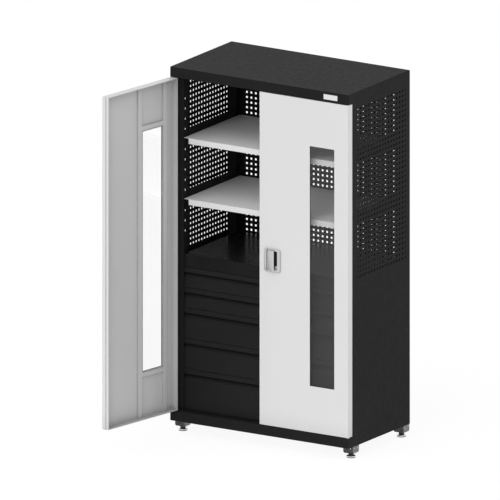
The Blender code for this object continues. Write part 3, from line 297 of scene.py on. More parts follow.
def powder_coat(name, tone, spread, gloss, sheen, worn, wear=0.35, corner=0.0, peel=0.10):
    """Baked powder paint: cloudy film, orange peel, rubbed edges, painted shade in corners."""
    finish, tree, shader, place = new_finish(name)
    film = remap(noise(place, FILM_SCALE, 4.0), BROAD_BAND)
    colour = mixed(film, grey(tone * (1 - spread)), grey(tone * (1 + spread)))
    grains = remap(noise(place, GRAIN_SCALE), PATCH_BAND, (0.0, 0.16))
    colour = mixed(grains, colour, grey(min(1.0, tone * 1.35 + 0.01)))
    # Painted shade: ambient occlusion darkens the colour in inner corners and creases, where shade
    # falls.
    if corner:
        corner_openness = add(tree, "ShaderNodeAmbientOcclusion", {"Distance": CORNER_SHADE_REACH}, samples=6)
        painted_corner_shade = remap(corner_openness.outputs["AO"], (0.35, 1.0), (corner, 0.0))
        colour = mixed(painted_corner_shade, colour, grey(tone * 0.35))
    rounded, edge = soft_edges(tree, PAINT_EDGE)
    patches = remap(noise(place, RUBBED_SCALE, 3.0), (0.40, 0.70), (0.0, wear))
    colour = mixed(times(edge, patches), colour, grey(worn))
    cloud = remap(noise(place, GLOSS_SCALE, 3.0), BROAD_BAND, (gloss * 0.92, gloss * 1.08))
    skin = bumped(noise(place, PEEL_SCALE), rounded, PEEL_DEPTH, peel)
    fill(shader, {"Base Color": colour, "Roughness": cloud, "Normal": skin})
    fill(shader, {"Specular IOR Level": sheen})
    return finish


body_paint = powder_coat(
    "body_black_powder", 0.0136, spread=0.09, gloss=0.62, sheen=0.08, worn=0.050
)
drawer_paint = powder_coat(
    "drawer_black_powder", 0.0140, spread=0.09, gloss=0.50, sheen=0.09, worn=0.050
)
block_paint = powder_coat(
    "block_top_gloss_powder", 0.0118, spread=0.06, gloss=0.24, sheen=0.060, worn=0.055, wear=0.30,
    peel=0.0005,
)
# The pale paints get painted corner shade through corner; the black paints get none.
door_paint = powder_coat(
    "door_pale_powder", 0.770, spread=0.010, gloss=0.50, sheen=0.25, worn=0.650, corner=0.60
)
shelf_paint = powder_coat(
    "shelf_pale_powder", 0.820, spread=0.012, gloss=0.48, sheen=0.25, worn=0.640, corner=0.25
)
print("paints", body_paint.name, drawer_paint.name, door_paint.name, shelf_paint.name)

# %% [markdown]
# ## Bare and plated metals
# The foot brackets are hot-dip zinc: flat crystals, each with its own shade, which Voronoi cells
# give directly. The pins, rods and feet are drawn or turned steel, with fine lines that follow the
# tool. The handle is a cast alloy with a satin plating. Metals have no colour of their own besides
# their reflection, so roughness and bump do most of the work.


# %% Make the metals
SPANGLE_SCALE = 150.0
SPANGLE_TONES = (0.07, 0.32)
DUST_SCALE = 60.0
DUST_TONE = 0.36
FRONT_SHADE_TONE = 0.018
STAIN_SCALE = 35.0
ZINC_EDGE = 0.001
METAL_EDGE = 0.0006
LINE_DEPTH = 0.00004
DEEP_LINES = 0.00005


def spangled_zinc(name):
    """Zinc crystals, with painted shade darkening the faces that look forward."""
    finish, tree, shader, place = new_finish(name)
    crystals = add(tree, "ShaderNodeTexVoronoi", {"Vector": place, "Scale": SPANGLE_SCALE})
    shade = made(tree, "ShaderNodeSeparateColor", {0: crystals.outputs["Color"]})
    colour = mixed(shade, *map(grey, SPANGLE_TONES))
    dust = remap(noise(place, DUST_SCALE, 5.0), PATCH_BAND, (0.0, 0.5))
    colour = mixed(dust, colour, grey(DUST_TONE))
    # Painted shade: faces that look forward are darkened, standing in for the shade under the
    # plinth.
    facing = add(tree, "ShaderNodeSeparateXYZ", {0: true_normal(tree)}).outputs["Y"]
    painted_front_shade = remap(facing, (-0.2, -0.9), (0.0, 0.72))
    colour = mixed(painted_front_shade, colour, grey(FRONT_SHADE_TONE))
    dull = remap(shade, (0.0, 1.0), (0.30, 0.58))
    rounded, _ = soft_edges(tree, ZINC_EDGE)
    skin = bumped(shade, rounded, 0.0003, 0.35)
    fill(shader, {"Base Color": colour, "Roughness": dull, "Normal": skin, "Metallic": 1.0})
    return finish


def worked_metal(name, tone, gloss, lines, depth=LINE_DEPTH, stain=0.12):
    """A machined or drawn metal: long fine lines, a little staining, brighter rubbed edges."""
    finish, tree, shader, place = new_finish(name)
    stretched = made(tree, "ShaderNodeMapping", {"Vector": place, "Scale": lines})
    grain = noise(stretched, 1.0, 3.0)
    stains = remap(noise(place, STAIN_SCALE, 4.0), PATCH_BAND, (0.0, stain * 2))
    colour = mixed(grain, grey(tone * 0.88), grey(min(1.0, tone * 1.10)))
    colour = mixed(stains, colour, grey(tone * 0.62))
    rounded, edge = soft_edges(tree, METAL_EDGE)
    colour = mixed(times(edge, 0.5), colour, grey(min(1.0, tone * 1.3)))
    dull = remap(grain, (0.25, 0.75), (gloss - 0.07, gloss + 0.07))
    skin = bumped(grain, rounded, depth, 0.3)
    fill(shader, {"Base Color": colour, "Roughness": dull, "Normal": skin, "Metallic": 1.0})
    return finish


zinc = spangled_zinc("hot_dip_zinc")
turned_steel = worked_metal("turned_steel", 0.84, gloss=0.24, lines=(90.0, 90.0, 2600.0))
drawn_steel = worked_metal("drawn_steel", 0.66, gloss=0.28, lines=(2600.0, 2600.0, 60.0))
cast_silver = worked_metal(
    "satin_plated_casting", 0.62, gloss=0.30, lines=(500.0, 500.0, 260.0), depth=DEEP_LINES,
    stain=0.05,
)
key_metal = worked_metal("dull_key_steel", 0.36, gloss=0.34, lines=(260.0, 900.0, 260.0))
dark_steel = worked_metal(
    "black_oxide_steel", 0.055, gloss=0.42, lines=(300.0, 300.0, 300.0), depth=DEEP_LINES
)
plate_metal = worked_metal(
    "brushed_blank_plate", 0.82, gloss=0.34, lines=(25.0, 900.0, 2200.0), stain=0.03
)
print("metals", [finish.name for finish in (zinc, turned_steel, drawn_steel, cast_silver)])

# %% [markdown]
# ## Rubber and clear pane
# The seal and the foot pads are matt rubber with a pitted skin. The pane is a flat clear sheet.
# Real glass throws no dark shadow, but a path tracer treats a refracting solid as opaque to lamps;
# for shadow rays the pane is therefore swapped for a clear surface, so the light reaches the
# inside. Its refraction is set lower than window glass has, because the panes in the photograph
# mirror very little, as a sheet with an anti-glare skin does.


# %% Make the rubber, the plastic and the pane
PANE_REFRACTION = 1.33
SMEAR_SCALE = 9.0
BLOOM_SCALE = 18.0
MOULDED_EDGE = 0.0005


def moulded(name, tone, gloss, grain):
    """Rubber or plastic: a pitted skin, patches of bloom, paler rubbed edges."""
    finish, tree, shader, place = new_finish(name)
    skin = noise(place, grain, 3.0)
    bloom = remap(noise(place, BLOOM_SCALE, 4.0), PATCH_BAND, (0.0, 0.5))
    colour = mixed(skin, grey(tone * 0.75), grey(tone * 1.25))
    colour = mixed(bloom, colour, grey(tone * 1.6))
    rounded, edge = soft_edges(tree, MOULDED_EDGE)
    colour = mixed(times(edge, 0.35), colour, grey(tone * 2.6))
    dull = remap(skin, BROAD_BAND, (gloss - 0.06, gloss + 0.08))
    pits = bumped(skin, rounded, 0.0001, 0.4)
    fill(shader, {"Base Color": colour, "Roughness": dull, "Normal": pits})
    return finish


def clear_sheet(name):
    """A clear pane with a faint smear, open to the rays that light the inside."""
    finish, tree, shader, place = new_finish(name)
    smear = noise(place, SMEAR_SCALE, 4.0)
    haze = remap(smear, (0.5, 0.8), (0.0, 0.012))
    tint = mixed(remap(smear, BROAD_BAND), grey(0.985), grey(1.0))
    fill(shader, {"Base Color": tint, "Roughness": haze})
    fill(shader, {"Transmission Weight": 1.0, "IOR": PANE_REFRACTION})
    rays = tree.nodes.new("ShaderNodeLightPath").outputs
    unseen = worked_out("MAXIMUM", rays["Is Shadow Ray"], rays["Is Diffuse Ray"])
    clear = made(tree, "ShaderNodeBsdfTransparent", {"Color": grey(0.95)})
    both = made(tree, "ShaderNodeMixShader", {0: unseen, 1: shader.outputs[0], 2: clear})
    fill(tree.nodes["Material Output"], {"Surface": both})
    return finish


rubber = moulded("black_rubber", 0.016, gloss=0.68, grain=700.0)
cup_plastic = moulded("black_cup_plastic", 0.060, gloss=0.46, grain=900.0)
# A real grey gasket whose tone is painted shade: it is set darker than the pale paint to stand for
# the shaded step round the windows.
shade_grey_gasket = moulded("shade_grey_gasket", 0.44, gloss=0.60, grain=800.0)
pane_finish = clear_sheet("clear_pane")
print("soft and clear finishes", rubber.name, cup_plastic.name, pane_finish.name)

# %% [markdown]
# ## Paint the solids
# Every solid of the model carries the name of its finish in the record. Only the material is
# changed, never the mesh: the same solid is used for collision.

# %% Give each solid its finish
FINISH_OF_SLOT = {
    "black_paint": body_paint,
    "drawer_paint": drawer_paint,
    "door_paint": door_paint,
    "shelf_paint": shelf_paint,
    "zinc_plate": zinc,
    "bright_steel": drawn_steel,
    "cast_metal": cast_silver,
    "dark_steel": dark_steel,
    "rubber_seal": rubber,
    "clear_pane": pane_finish,
    "plate_metal": plate_metal,
}
painted = {}
for node in nodes.values():
    for material_slot in node.material_slots:
        slot_name = material_slot.material.name.split(".")[0]
        material_slot.material = FINISH_OF_SLOT[slot_name]
        painted[slot_name] = painted.get(slot_name, 0) + 1
nodes["block_top"].material_slots[0].material = block_paint
print("solids painted", painted)

# %% [markdown]
# ## Running a Geometry Nodes tree
# What repeats is grown by a node tree with named inputs. The helper puts the tree on a seed
# object, sets each input by its identifier, keeps the evaluated result as a plain mesh, and
# removes the seed. The result is an ordinary object at the origin, with its place in its mesh.


# %% Grow a plain mesh from a node tree
def new_tree(name, **inputs):
    """A tree with geometry at both ends and named inputs, which are listed under their kinds."""
    tree = bpy.data.node_groups.new(name, "GeometryNodeTree")
    tree.interface.new_socket("Geometry", in_out="INPUT", socket_type="NodeSocketGeometry")
    for kind, labels in inputs.items():
        for label in labels:
            tree.interface.new_socket(label, in_out="INPUT", socket_type="NodeSocket" + kind)
    tree.interface.new_socket("Geometry", in_out="OUTPUT", socket_type="NodeSocketGeometry")
    return tree, tree.nodes.new("NodeGroupInput").outputs


def moved(shape, offset):
    return made(shape.id_data, "GeometryNodeTransform", {"Geometry": shape, "Translation": offset})


def joined(*parts):
    node = parts[0].id_data.nodes.new("GeometryNodeJoinGeometry")
    for part in parts:
        fill(node, {0: part})
    return node.outputs[0]


def finish_tree(tree, shape, finish):
    """Every tree ends the same way: real meshes, one finish, output."""
    real = made(tree, "GeometryNodeRealizeInstances", {0: shape})
    dressed = made(tree, "GeometryNodeSetMaterial", {"Geometry": real, "Material": finish})
    add(tree, "NodeGroupOutput", {0: dressed})
    print(tree.name, "has", len(tree.nodes), "nodes")
    return tree


def evaluated_mesh(item, name):
    """The mesh that an object's modifiers leave; the object itself goes."""
    result = item.evaluated_get(bpy.context.evaluated_depsgraph_get())
    mesh = bpy.data.meshes.new_from_object(result)
    mesh.name = name
    bpy.data.objects.remove(item)
    return mesh


def grown(name, tree, sizes, seats=()):
    """Runs the tree on seed points, given as places with the direction that each one faces."""
    seed_mesh = bpy.data.meshes.new(name + "_seed")
    seed_mesh.from_pydata([tuple(place) for place, _ in seats], [], [])
    if seats:
        facing = seed_mesh.attributes.new("facing", "FLOAT_VECTOR", "POINT")
        for index, (_, direction) in enumerate(seats):
            facing.data[index].vector = direction
    seed = in_scene(name + "_seed", seed_mesh)
    modifier = seed.modifiers.new("grow", "NODES")
    modifier.node_group = tree
    for item in tree.interface.items_tree:
        if item.in_out == "INPUT" and item.name in sizes:
            modifier[item.identifier] = sizes[item.name]
    mesh = evaluated_mesh(seed, name)
    print(name, len(mesh.polygons), "faces")
    return in_scene(name, mesh)


# %% [markdown]
# ## The punched walls
# The two side walls and the back wall are sheets with square holes every 25 mm, above the drawers
# only. Thousands of Booleans would be slow and fragile. Here one flat outline and a grid of hole
# outlines are filled as curves in one go, then the flat sheet gets its thickness. The rule is the
# grid: columns, rows, pitch and the middle of the field are inputs, so the same tree makes all
# three walls.

# %% Build the punched sheet tree
HOLE_CORNER_STEPS = 2
FIXING_STEPS = 14
WELD_DISTANCE = 0.00001

tree, given = new_tree(
    "punched_sheet",
    Float=("Width", "Height", "Thickness", "Pitch", "Hole Size", "Hole Corner", "Fixing Radius"),
    Int=("Columns", "Rows", "Fixing Rows"),
    Vector=("Field Middle", "Fixing Span", "Fixing Middle"),
    Material=("Finish",),
)


def rectangle(width, height):
    sizes = {"Width": width, "Height": height}
    return made(tree, "GeometryNodeCurvePrimitiveQuadrilateral", sizes)


def grid(span_x, span_y, columns, rows):
    sizes = {"Size X": span_x, "Size Y": span_y, "Vertices X": columns, "Vertices Y": rows}
    return made(tree, "GeometryNodeMeshGrid", sizes)


def grid_span(count):
    return times(worked_out("SUBTRACT", count, 1.0), given["Pitch"])


def copies(points, outline):
    return made(tree, "GeometryNodeInstanceOnPoints", {"Points": points, "Instance": outline})


middle = {"X": times(given["Width"], 0.5), "Y": times(given["Height"], 0.5)}
sheet = rectangle(given["Width"], given["Height"])
sheet = moved(sheet, made(tree, "ShaderNodeCombineXYZ", middle))
square = rectangle(given["Hole Size"], given["Hole Size"])
softened = {"Curve": square, "Count": HOLE_CORNER_STEPS, "Radius": given["Hole Corner"]}
hole = made(tree, "GeometryNodeFilletCurve", softened, mode="POLY")
columns, rows = given["Columns"], given["Rows"]
field = moved(grid(grid_span(columns), grid_span(rows), columns, rows), given["Field Middle"])
span = add(tree, "ShaderNodeSeparateXYZ", {0: given["Fixing Span"]}).outputs
fixings = moved(grid(span[0], span[1], 2, given["Fixing Rows"]), given["Fixing Middle"])
round_sizes = {"Resolution": FIXING_STEPS, "Radius": given["Fixing Radius"]}
round_hole = made(tree, "GeometryNodeCurvePrimitiveCircle", round_sizes)
all_outlines = joined(sheet, copies(field, hole), copies(fixings, round_hole))
outlines = made(tree, "GeometryNodeRealizeInstances", {0: all_outlines})
flat = made(tree, "GeometryNodeFillCurve", {"Curve": outlines})
thickened = {"Mesh": flat, "Offset Scale": given["Thickness"], "Individual": False}
raised = made(tree, "GeometryNodeExtrudeMesh", thickened)
both_sides = joined(raised, made(tree, "GeometryNodeFlipFaces", {0: flat}))
welded = {"Geometry": both_sides, "Distance": WELD_DISTANCE}
closed = made(tree, "GeometryNodeMergeByDistance", welded)
punched_sheet = finish_tree(tree, closed, given["Finish"])

# %% [markdown]
# The panels stand upright, while the tree draws them lying flat. A matrix turns each one: the
# sheet's width runs along the cabinet's depth on the sides and along its width at the back. Both
# matrices are pure rotations, because a mirrored one would turn the sheet inside out.

# %% Punch the three walls
HOLE_PITCH = 0.025
HOLE_ROWS = 34
SIDE_COLUMNS = 18
BACK_COLUMNS = 34
HOLE_SIZE = 0.0100
HOLE_CORNER = 0.0012
FIRST_ROW_LEVEL = 0.888
FIXING_ROWS = 5
FIXING_INSET = 0.0205
FIXING_RADIUS = 0.0032
FIXING_END = 0.060


def punched_wall(node, columns, axes, origin, width):
    """One wall in place of its plain solid; origin is where the tree's own origin goes."""
    low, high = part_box(node)
    height = high.z - low.z
    thickness = min(high.x - low.x, high.y - low.y)
    field_middle = FIRST_ROW_LEVEL - low.z + HOLE_PITCH * (HOLE_ROWS - 1) / 2
    sizes = {
        "Width": width,
        "Height": height,
        "Thickness": thickness,
        "Columns": columns,
        "Rows": HOLE_ROWS,
        "Pitch": HOLE_PITCH,
        "Hole Size": HOLE_SIZE,
        "Hole Corner": HOLE_CORNER,
        "Field Middle": (width / 2, field_middle, 0.0),
        "Fixing Rows": FIXING_ROWS,
        "Fixing Span": (width - 2 * FIXING_INSET, height - 2 * FIXING_END, 0.0),
        "Fixing Middle": (width / 2, height / 2, 0.0),
        "Fixing Radius": FIXING_RADIUS,
        "Finish": body_paint,
    }
    wall = grown(node + "_punched", punched_sheet, sizes)
    wall.data.transform(Matrix.Translation(origin) @ axes.to_4x4())
    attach(wall, "cabinet")
    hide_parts(node)


SIDE_AXES = Matrix(((0, 0, 1), (1, 0, 0), (0, 1, 0)))
BACK_AXES = Matrix(((1, 0, 0), (0, 0, -1), (0, 1, 0)))
for side in ("left", "right"):
    low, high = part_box(f"side_panel_{side}")
    punched_wall(f"side_panel_{side}", SIDE_COLUMNS, SIDE_AXES, low, high.y - low.y)
low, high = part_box("back_panel")
back_corner = Vector((low.x, high.y, low.z))
punched_wall("back_panel", BACK_COLUMNS, BACK_AXES, back_corner, high.x - low.x)

# %% [markdown]
# ## Screws
# Flush screws hold the walls and the foot brackets. Cap screws, which are taller, hold the lock
# case and the hinge brackets. Each head is modelled once, with about sixty faces, and a tree sets
# a copy at each seed point, turned to the direction that the point stores. Copying the head by
# hand would do too, but then every later change of the head would have to be made again on each
# copy.


# %% Draw with loops of points
def round_steps(steps):
    """The angles of a full turn in equal steps."""
    return [2 * pi * step / steps for step in range(steps)]


def bridge(shape, lower, upper):
    """Faces between two loops of equally many points."""
    for step in range(len(lower)):
        after = (step + 1) % len(lower)
        shape.faces.new((lower[step], lower[after], upper[after], upper[step]))


def closed_stack(shape, loops):
    """Joins the loops one after the other and caps both ends."""
    for lower, upper in zip(loops, loops[1:]):
        bridge(shape, lower, upper)
    shape.faces.new(list(reversed(loops[0])))
    shape.faces.new(loops[-1])


def mesh_of(name, shape):
    """Turns a drawn shape into a mesh and lets go of the shape."""
    mesh = bpy.data.meshes.new(name)
    shape.to_mesh(mesh)
    shape.free()
    return mesh


# %% Model one screw head
HEAD_STEPS = 12
FLUSH_HEAD_HEIGHT = 0.0013
CAP_HEAD_HEIGHT = 0.0024


def screw_head(name, radius, height, socket, depth, dome):
    """A head on the XY plane: side, dome, rim of a six-sided socket, and the socket's floor."""
    shape = bmesh.new()
    rings = (
        (radius, 0.0, False),
        (radius, height - dome, False),
        (radius * 0.86, height - dome * 0.25, False),
        (socket * 1.3, height, False),
        (socket, height, True),
        (socket, height - depth, True),
    )
    loops = []
    for reach, level, six_sided in rings:
        loop = []
        for step, angle in enumerate(round_steps(HEAD_STEPS)):
            pull = cos(pi / 6) if six_sided and step % 2 else 1.0
            place = (reach * pull * cos(angle), reach * pull * sin(angle), level)
            loop.append(shape.verts.new(place))
        loops.append(loop)
    closed_stack(shape, loops)
    return in_scene(name, mesh_of(name, shape))


flush_head = screw_head(
    "flush_head_model", 0.0029, FLUSH_HEAD_HEIGHT, socket=0.0013, depth=0.0008, dome=0.0002
)
cap_head = screw_head(
    "cap_head_model", 0.0038, CAP_HEAD_HEIGHT, socket=0.0018, depth=0.0014, dome=0.0007
)
print("faces of one head", len(flush_head.data.polygons))

# %% Build the tree that sets screws
tree, given = new_tree("set_screws", Object=("Head",), Material=("Finish",))
facing = made(tree, "GeometryNodeInputNamedAttribute", {"Name": "facing"}, data_type="FLOAT_VECTOR")
turn = made(tree, "FunctionNodeAlignRotationToVector", {"Vector": facing}, axis="Z")
model = add(tree, "GeometryNodeObjectInfo", {"Object": given["Head"], "As Instance": True})
points = made(tree, "GeometryNodeMeshToPoints", {"Mesh": given["Geometry"]})
seated = {"Points": points, "Instance": model.outputs["Geometry"], "Rotation": turn}
heads = made(tree, "GeometryNodeInstanceOnPoints", seated)
set_screws = finish_tree(tree, heads, given["Finish"])


def screws(name, head, finish, body, seats):
    piece = grown(name, set_screws, {"Head": head, "Finish": finish}, seats)
    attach(piece, body)


# %% [markdown]
# The wall screws sit in the fixing holes that the punched sheets already have. Their places follow
# from the same inset and rows, and their feet stand on the posts behind the sheet. Three more on
# each side, at the level of the drawer block's apron, hold the block.

# %% Screw the walls to the posts
FIXING_SINK = 0.0002
BLOCK_SCREW_LEVEL = 0.832
BLOCK_SCREW_ENDS = (0.027, 0.253, 0.483)
wall_seats = []
for node, direction in (
    ("side_panel_left", Vector((-1, 0, 0))),
    ("side_panel_right", Vector((1, 0, 0))),
    ("back_panel", Vector((0, 1, 0))),
):
    low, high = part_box(node)
    depth = max(low.dot(direction), high.dot(direction)) - FIXING_SINK - FLUSH_HEAD_HEIGHT
    level_step = (high.z - low.z - 2 * FIXING_END) / (FIXING_ROWS - 1)
    across = Vector((1, 0, 0)) if direction.y else Vector((0, 1, 0))
    for row in range(FIXING_ROWS):
        for end in (low.dot(across) + FIXING_INSET, high.dot(across) - FIXING_INSET):
            place = direction * depth + across * end
            place.z = low.z + FIXING_END + row * level_step
            wall_seats.append((place, direction))
    if direction.x:
        for along in BLOCK_SCREW_ENDS:
            place = Vector((direction.x * depth, low.y + along, BLOCK_SCREW_LEVEL))
            wall_seats.append((place, direction))
screws("wall_screws", flush_head, dark_steel, "cabinet", wall_seats)

# %% Screw the foot brackets and the lock case
CORNERS = ("front_left", "front_right", "rear_left", "rear_right")
BRACKET_SCREW_INSET = 0.014
BRACKET_SCREW_DROP = 0.010
BRACKET_SCREW_SINK = 0.0004
CASE_SCREW_INSET = 0.0065
CASE_SCREW_SINK = 0.0001
bracket_seats = []
for corner in CORNERS:
    low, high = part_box(f"foot_bracket_{corner}")
    middle = (low + high) / 2
    level = high.z - BRACKET_SCREW_DROP
    across = -1 if corner.endswith("left") else 1
    along = -1 if corner.startswith("front") else 1
    side_face = (high.x if across > 0 else low.x) - across * BRACKET_SCREW_SINK
    end_face = (high.y if along > 0 else low.y) - along * BRACKET_SCREW_SINK
    for inset in (BRACKET_SCREW_INSET, -BRACKET_SCREW_INSET):
        bracket_seats += [
            (Vector((side_face, middle.y + inset, level)), Vector((across, 0, 0))),
            (Vector((middle.x + inset, end_face, level)), Vector((0, along, 0))),
        ]
screws("bracket_screws", flush_head, drawn_steel, "cabinet", bracket_seats)

low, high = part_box("lock_case")
case_seats = [
    (Vector((x, high.y - CASE_SCREW_SINK, z)), Vector((0, 1, 0)))
    for x in (low.x + CASE_SCREW_INSET, high.x - CASE_SCREW_INSET)
    for z in (low.z + CASE_SCREW_INSET, high.z - CASE_SCREW_INSET)
]
screws("lock_case_screws", cap_head, drawn_steel, "door_right", case_seats)

# %% [markdown]
# ## Levelling feet
# Each foot is a steel disc on a rubber pad, a dark hexagon collar and a threaded spindle that goes
# up through the bracket. A lock nut under the bracket holds the height; it stays with the cabinet
# when the foot is turned down. The turned parts are a profile spun round the axis. The thread
# follows a rule, a helix of a given pitch, so Geometry Nodes sweep a small triangle along a
# spiral. A bump map would look like a thread from the front only: its outline would stay straight.

# %% Spin a profile round an axis
CREASE = radians(35.0)
HEXAGON_STEPS = 36


def smooth_piece(name, shape, finish, crease=CREASE):
    """A smooth piece in this finish; folds sharper than the crease stay sharp."""
    mesh = mesh_of(name, shape)
    mesh.shade_smooth()
    mesh.set_sharp_from_angle(angle=crease)
    mesh.materials.append(finish)
    print(name, len(mesh.polygons), "faces")
    return in_scene(name, mesh)


def spun(name, profile, centre, steps, finish, corners=0):
    """Spins (radius, height) pairs. Where a third value stands, the loop is a polygon with this
    many corners, and the value says how far the corners bend up or down."""
    shape = bmesh.new()
    loops = []
    for reach, level, *bend in profile:
        loop = []
        for angle in round_steps(steps):
            radius, height = reach, level
            if bend:
                sector = 2 * pi / corners
                radius = reach / cos((angle % sector) - sector / 2)
                height = level + bend[0] * (radius - reach)
            place = (radius * cos(angle), radius * sin(angle), height)
            loop.append(shape.verts.new(place))
        loops.append(loop)
    closed_stack(shape, loops)
    bmesh.ops.translate(shape, verts=shape.verts, vec=centre)
    return smooth_piece(name, shape, finish)


def hexagon(name, centre, bottom, top, flat, chamfer, end_share):
    """A collar or nut, with its corners chamfered at both ends."""
    profile = (
        (flat * end_share, bottom),
        (flat, bottom + chamfer, 0.5),
        (flat, top - chamfer, -0.5),
        (flat * end_share, top),
    )
    return spun(name, profile, centre, HEXAGON_STEPS, dark_steel, corners=6)


# %% Build the thread tree
THREAD_STEPS = 18
RIDGE_CORNERS = 3
CORE_STEPS = 24

tree, given = new_tree(
    "threaded_spindle",
    Float=("Core Radius", "Length", "Pitch", "Depth"),
    Vector=("Foot",),
    Material=("Finish",),
)
length, core_radius = given["Length"], given["Core Radius"]
helix_sizes = {
    "Resolution": THREAD_STEPS,
    "Rotations": worked_out("DIVIDE", length, given["Pitch"]),
    "Start Radius": core_radius,
    "End Radius": core_radius,
    "Height": length,
}
helix = made(tree, "GeometryNodeCurveSpiral", helix_sizes)
ridge_sizes = {"Resolution": RIDGE_CORNERS, "Radius": given["Depth"]}
ridge = made(tree, "GeometryNodeCurvePrimitiveCircle", ridge_sizes)
swept = {"Curve": helix, "Profile Curve": ridge, "Fill Caps": True}
thread = made(tree, "GeometryNodeCurveToMesh", swept)
core_sizes = {"Vertices": CORE_STEPS, "Radius": core_radius, "Depth": length}
core = made(tree, "GeometryNodeMeshCylinder", core_sizes)
lift = made(tree, "ShaderNodeCombineXYZ", {"Z": times(length, 0.5)})
spindle = joined(moved(core, lift), thread)
threaded_spindle = finish_tree(tree, moved(spindle, given["Foot"]), given["Finish"])

# %% Set the four feet
PAD_HEIGHT = 0.0042
DISC_TOP = 0.010
COLLAR_TOP = 0.018
NUT_GAPS = (0.0003, 0.0002)
# Half the width across the flats, the corners' chamfer, the ends' share of the half width
COLLAR_SHAPE = (0.0128, 0.0004, 0.96)
NUT_SHAPE = (0.0112, 0.0005, 0.94)
SPINDLE_CORE = 0.0052
THREAD_PITCH = 0.00175
THREAD_DEPTH = 0.0008
PAD_STEPS = 40
DISC_STEPS = 48
# Pairs of a share of the foot's radius and a height
PAD_PROFILE = ((0.88, 0.0), (0.95, 0.0006), (0.95, PAD_HEIGHT))
DISC_PROFILE = (
    (0.97, PAD_HEIGHT),
    (1.0, PAD_HEIGHT + 0.0006),
    (1.0, DISC_TOP - 0.0022),
    (0.985, DISC_TOP - 0.0012),
    (0.93, DISC_TOP - 0.0002),
    (0.88, DISC_TOP),
    (0.60, DISC_TOP),
)
for corner in CORNERS:
    node = f"levelling_foot_{corner}"
    low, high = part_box(node)
    middle = Vector(((low.x + high.x) / 2, (low.y + high.y) / 2, low.z))
    reach = (high.x - low.x) / 2
    pad_profile = [(reach * share, level) for share, level in PAD_PROFILE]
    disc_profile = [(reach * share, level) for share, level in DISC_PROFILE]
    spindle_sizes = {
        "Core Radius": SPINDLE_CORE,
        "Length": high.z - low.z - COLLAR_TOP - THREAD_DEPTH,
        "Pitch": THREAD_PITCH,
        "Depth": THREAD_DEPTH,
        "Foot": middle + Vector((0, 0, COLLAR_TOP)),
        "Finish": drawn_steel,
    }
    pad = spun(f"foot_pad_{corner}", pad_profile, middle, PAD_STEPS, rubber)
    disc = spun(f"foot_disc_{corner}", disc_profile, middle, DISC_STEPS, turned_steel)
    collar = hexagon(f"foot_collar_{corner}", middle, DISC_TOP, COLLAR_TOP, *COLLAR_SHAPE)
    spindle = grown(f"foot_spindle_{corner}", threaded_spindle, spindle_sizes)
    for piece, slot in (
        (pad, "rubber_seal"),
        (disc, "bright_steel"),
        (collar, "dark_steel"),
        (spindle, "bright_steel"),
    ):
        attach(piece, f"foot_{corner}")
        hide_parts(node)
    nut_bottom = COLLAR_TOP + NUT_GAPS[0]
    nut_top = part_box(f"foot_bracket_{corner}")[0].z - low.z - NUT_GAPS[1]
    nut = hexagon(f"lock_nut_{corner}", middle, nut_bottom, nut_top, *NUT_SHAPE)
    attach(nut, "cabinet")

# %% [markdown]
# ## Rounded castings
# The handle plate and the key barrel are small castings with soft edges; the photograph shows a
# bright line along the handle's top. The solid's loose triangles are merged, flat neighbours are
# joined into whole faces, and a Bevel modifier rounds what is left. Rounding the solid itself
# would only add weight to the collision model.


# %% Copy a solid with rounded edges
FLAT_WITHIN = radians(1.0)
ROUNDED_FROM = radians(40.0)
CASTING_CREASE = radians(32.0)


def rounded_copy(node, name, radius, segments, finish, body):
    """The solid with its folds rounded, in place of the solid itself."""
    shape = bmesh.new()
    shape.from_mesh(nodes[node].data)
    bmesh.ops.remove_doubles(shape, verts=shape.verts, dist=WELD_DISTANCE)
    bmesh.ops.dissolve_limit(shape, angle_limit=FLAT_WITHIN, verts=shape.verts, edges=shape.edges)
    plain = in_scene(name + "_plain", mesh_of(name + "_plain", shape))
    bevel = plain.modifiers.new("round", "BEVEL")
    bevel.width = radius
    bevel.segments = segments
    bevel.limit_method = "ANGLE"
    bevel.angle_limit = ROUNDED_FROM
    bevel.use_clamp_overlap = True
    rounded = evaluated_mesh(plain, name)
    rounded.materials.clear()
    rounded.materials.append(finish)
    rounded.shade_smooth()
    rounded.set_sharp_from_angle(angle=CASTING_CREASE)
    piece = in_scene(name, rounded)
    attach(piece, body)
    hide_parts(node)
    print(name, len(rounded.polygons), "faces")


PLATE_ROUNDING = 0.0009
BARREL_ROUNDING = 0.0004
rounded_copy(
    "handle_plate", "handle_casting", PLATE_ROUNDING, 3, cast_silver, "door_right"
)
rounded_copy("key_barrel", "key_cylinder", BARREL_ROUNDING, 2, key_metal, "key")

# %% [markdown]
# ## The pull lever
# In plan the lever is a round knuckle, a hinge groove and a crowned plate with a rolled edge. The
# groove is the dark upright line at the lever's left in the photograph. The plan is one closed
# outline, so the lever is that outline raised along its height, with the ends drawn in a little to
# round them. Cutting the groove into the plain solid would need a Boolean and would leave no
# rounding.

# %% Draw the lever's plan and raise it
KNUCKLE = 0.0025
KNUCKLE_STEPS = 8
ROLL = 0.004
ROLL_STEPS = 8
GROOVE_START = -0.0013
GROOVE_END = 0.0014
GROOVE_DEPTH = 0.0024
GROOVE_LIP = 0.0004
LEVER_END_STEPS = ((0.0, 0.0010), (0.0004, 0.0004), (0.0011, 0.0))
CROWN_START = 0.16
CROWN_STEPS = 12
CROWN_SHARES = [CROWN_START + (1 - CROWN_START) * step / CROWN_STEPS for step in range(CROWN_STEPS)]

low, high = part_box("handle_lever")
pivot = Vector((low.x + KNUCKLE, high.y - KNUCKLE, 0.0))
lever_reach = high.x - pivot.x
lever_rise = pivot.y - low.y


def crown(along):
    """The depth of the lever's front at a distance from the pivot."""
    return pivot.y - KNUCKLE - (lever_rise - KNUCKLE) * sin(pi / 2 * along / lever_reach)


def behind(along, depth):
    """A point of the plan, this far behind the lever's front."""
    return (pivot.x + along, crown(along) + depth)


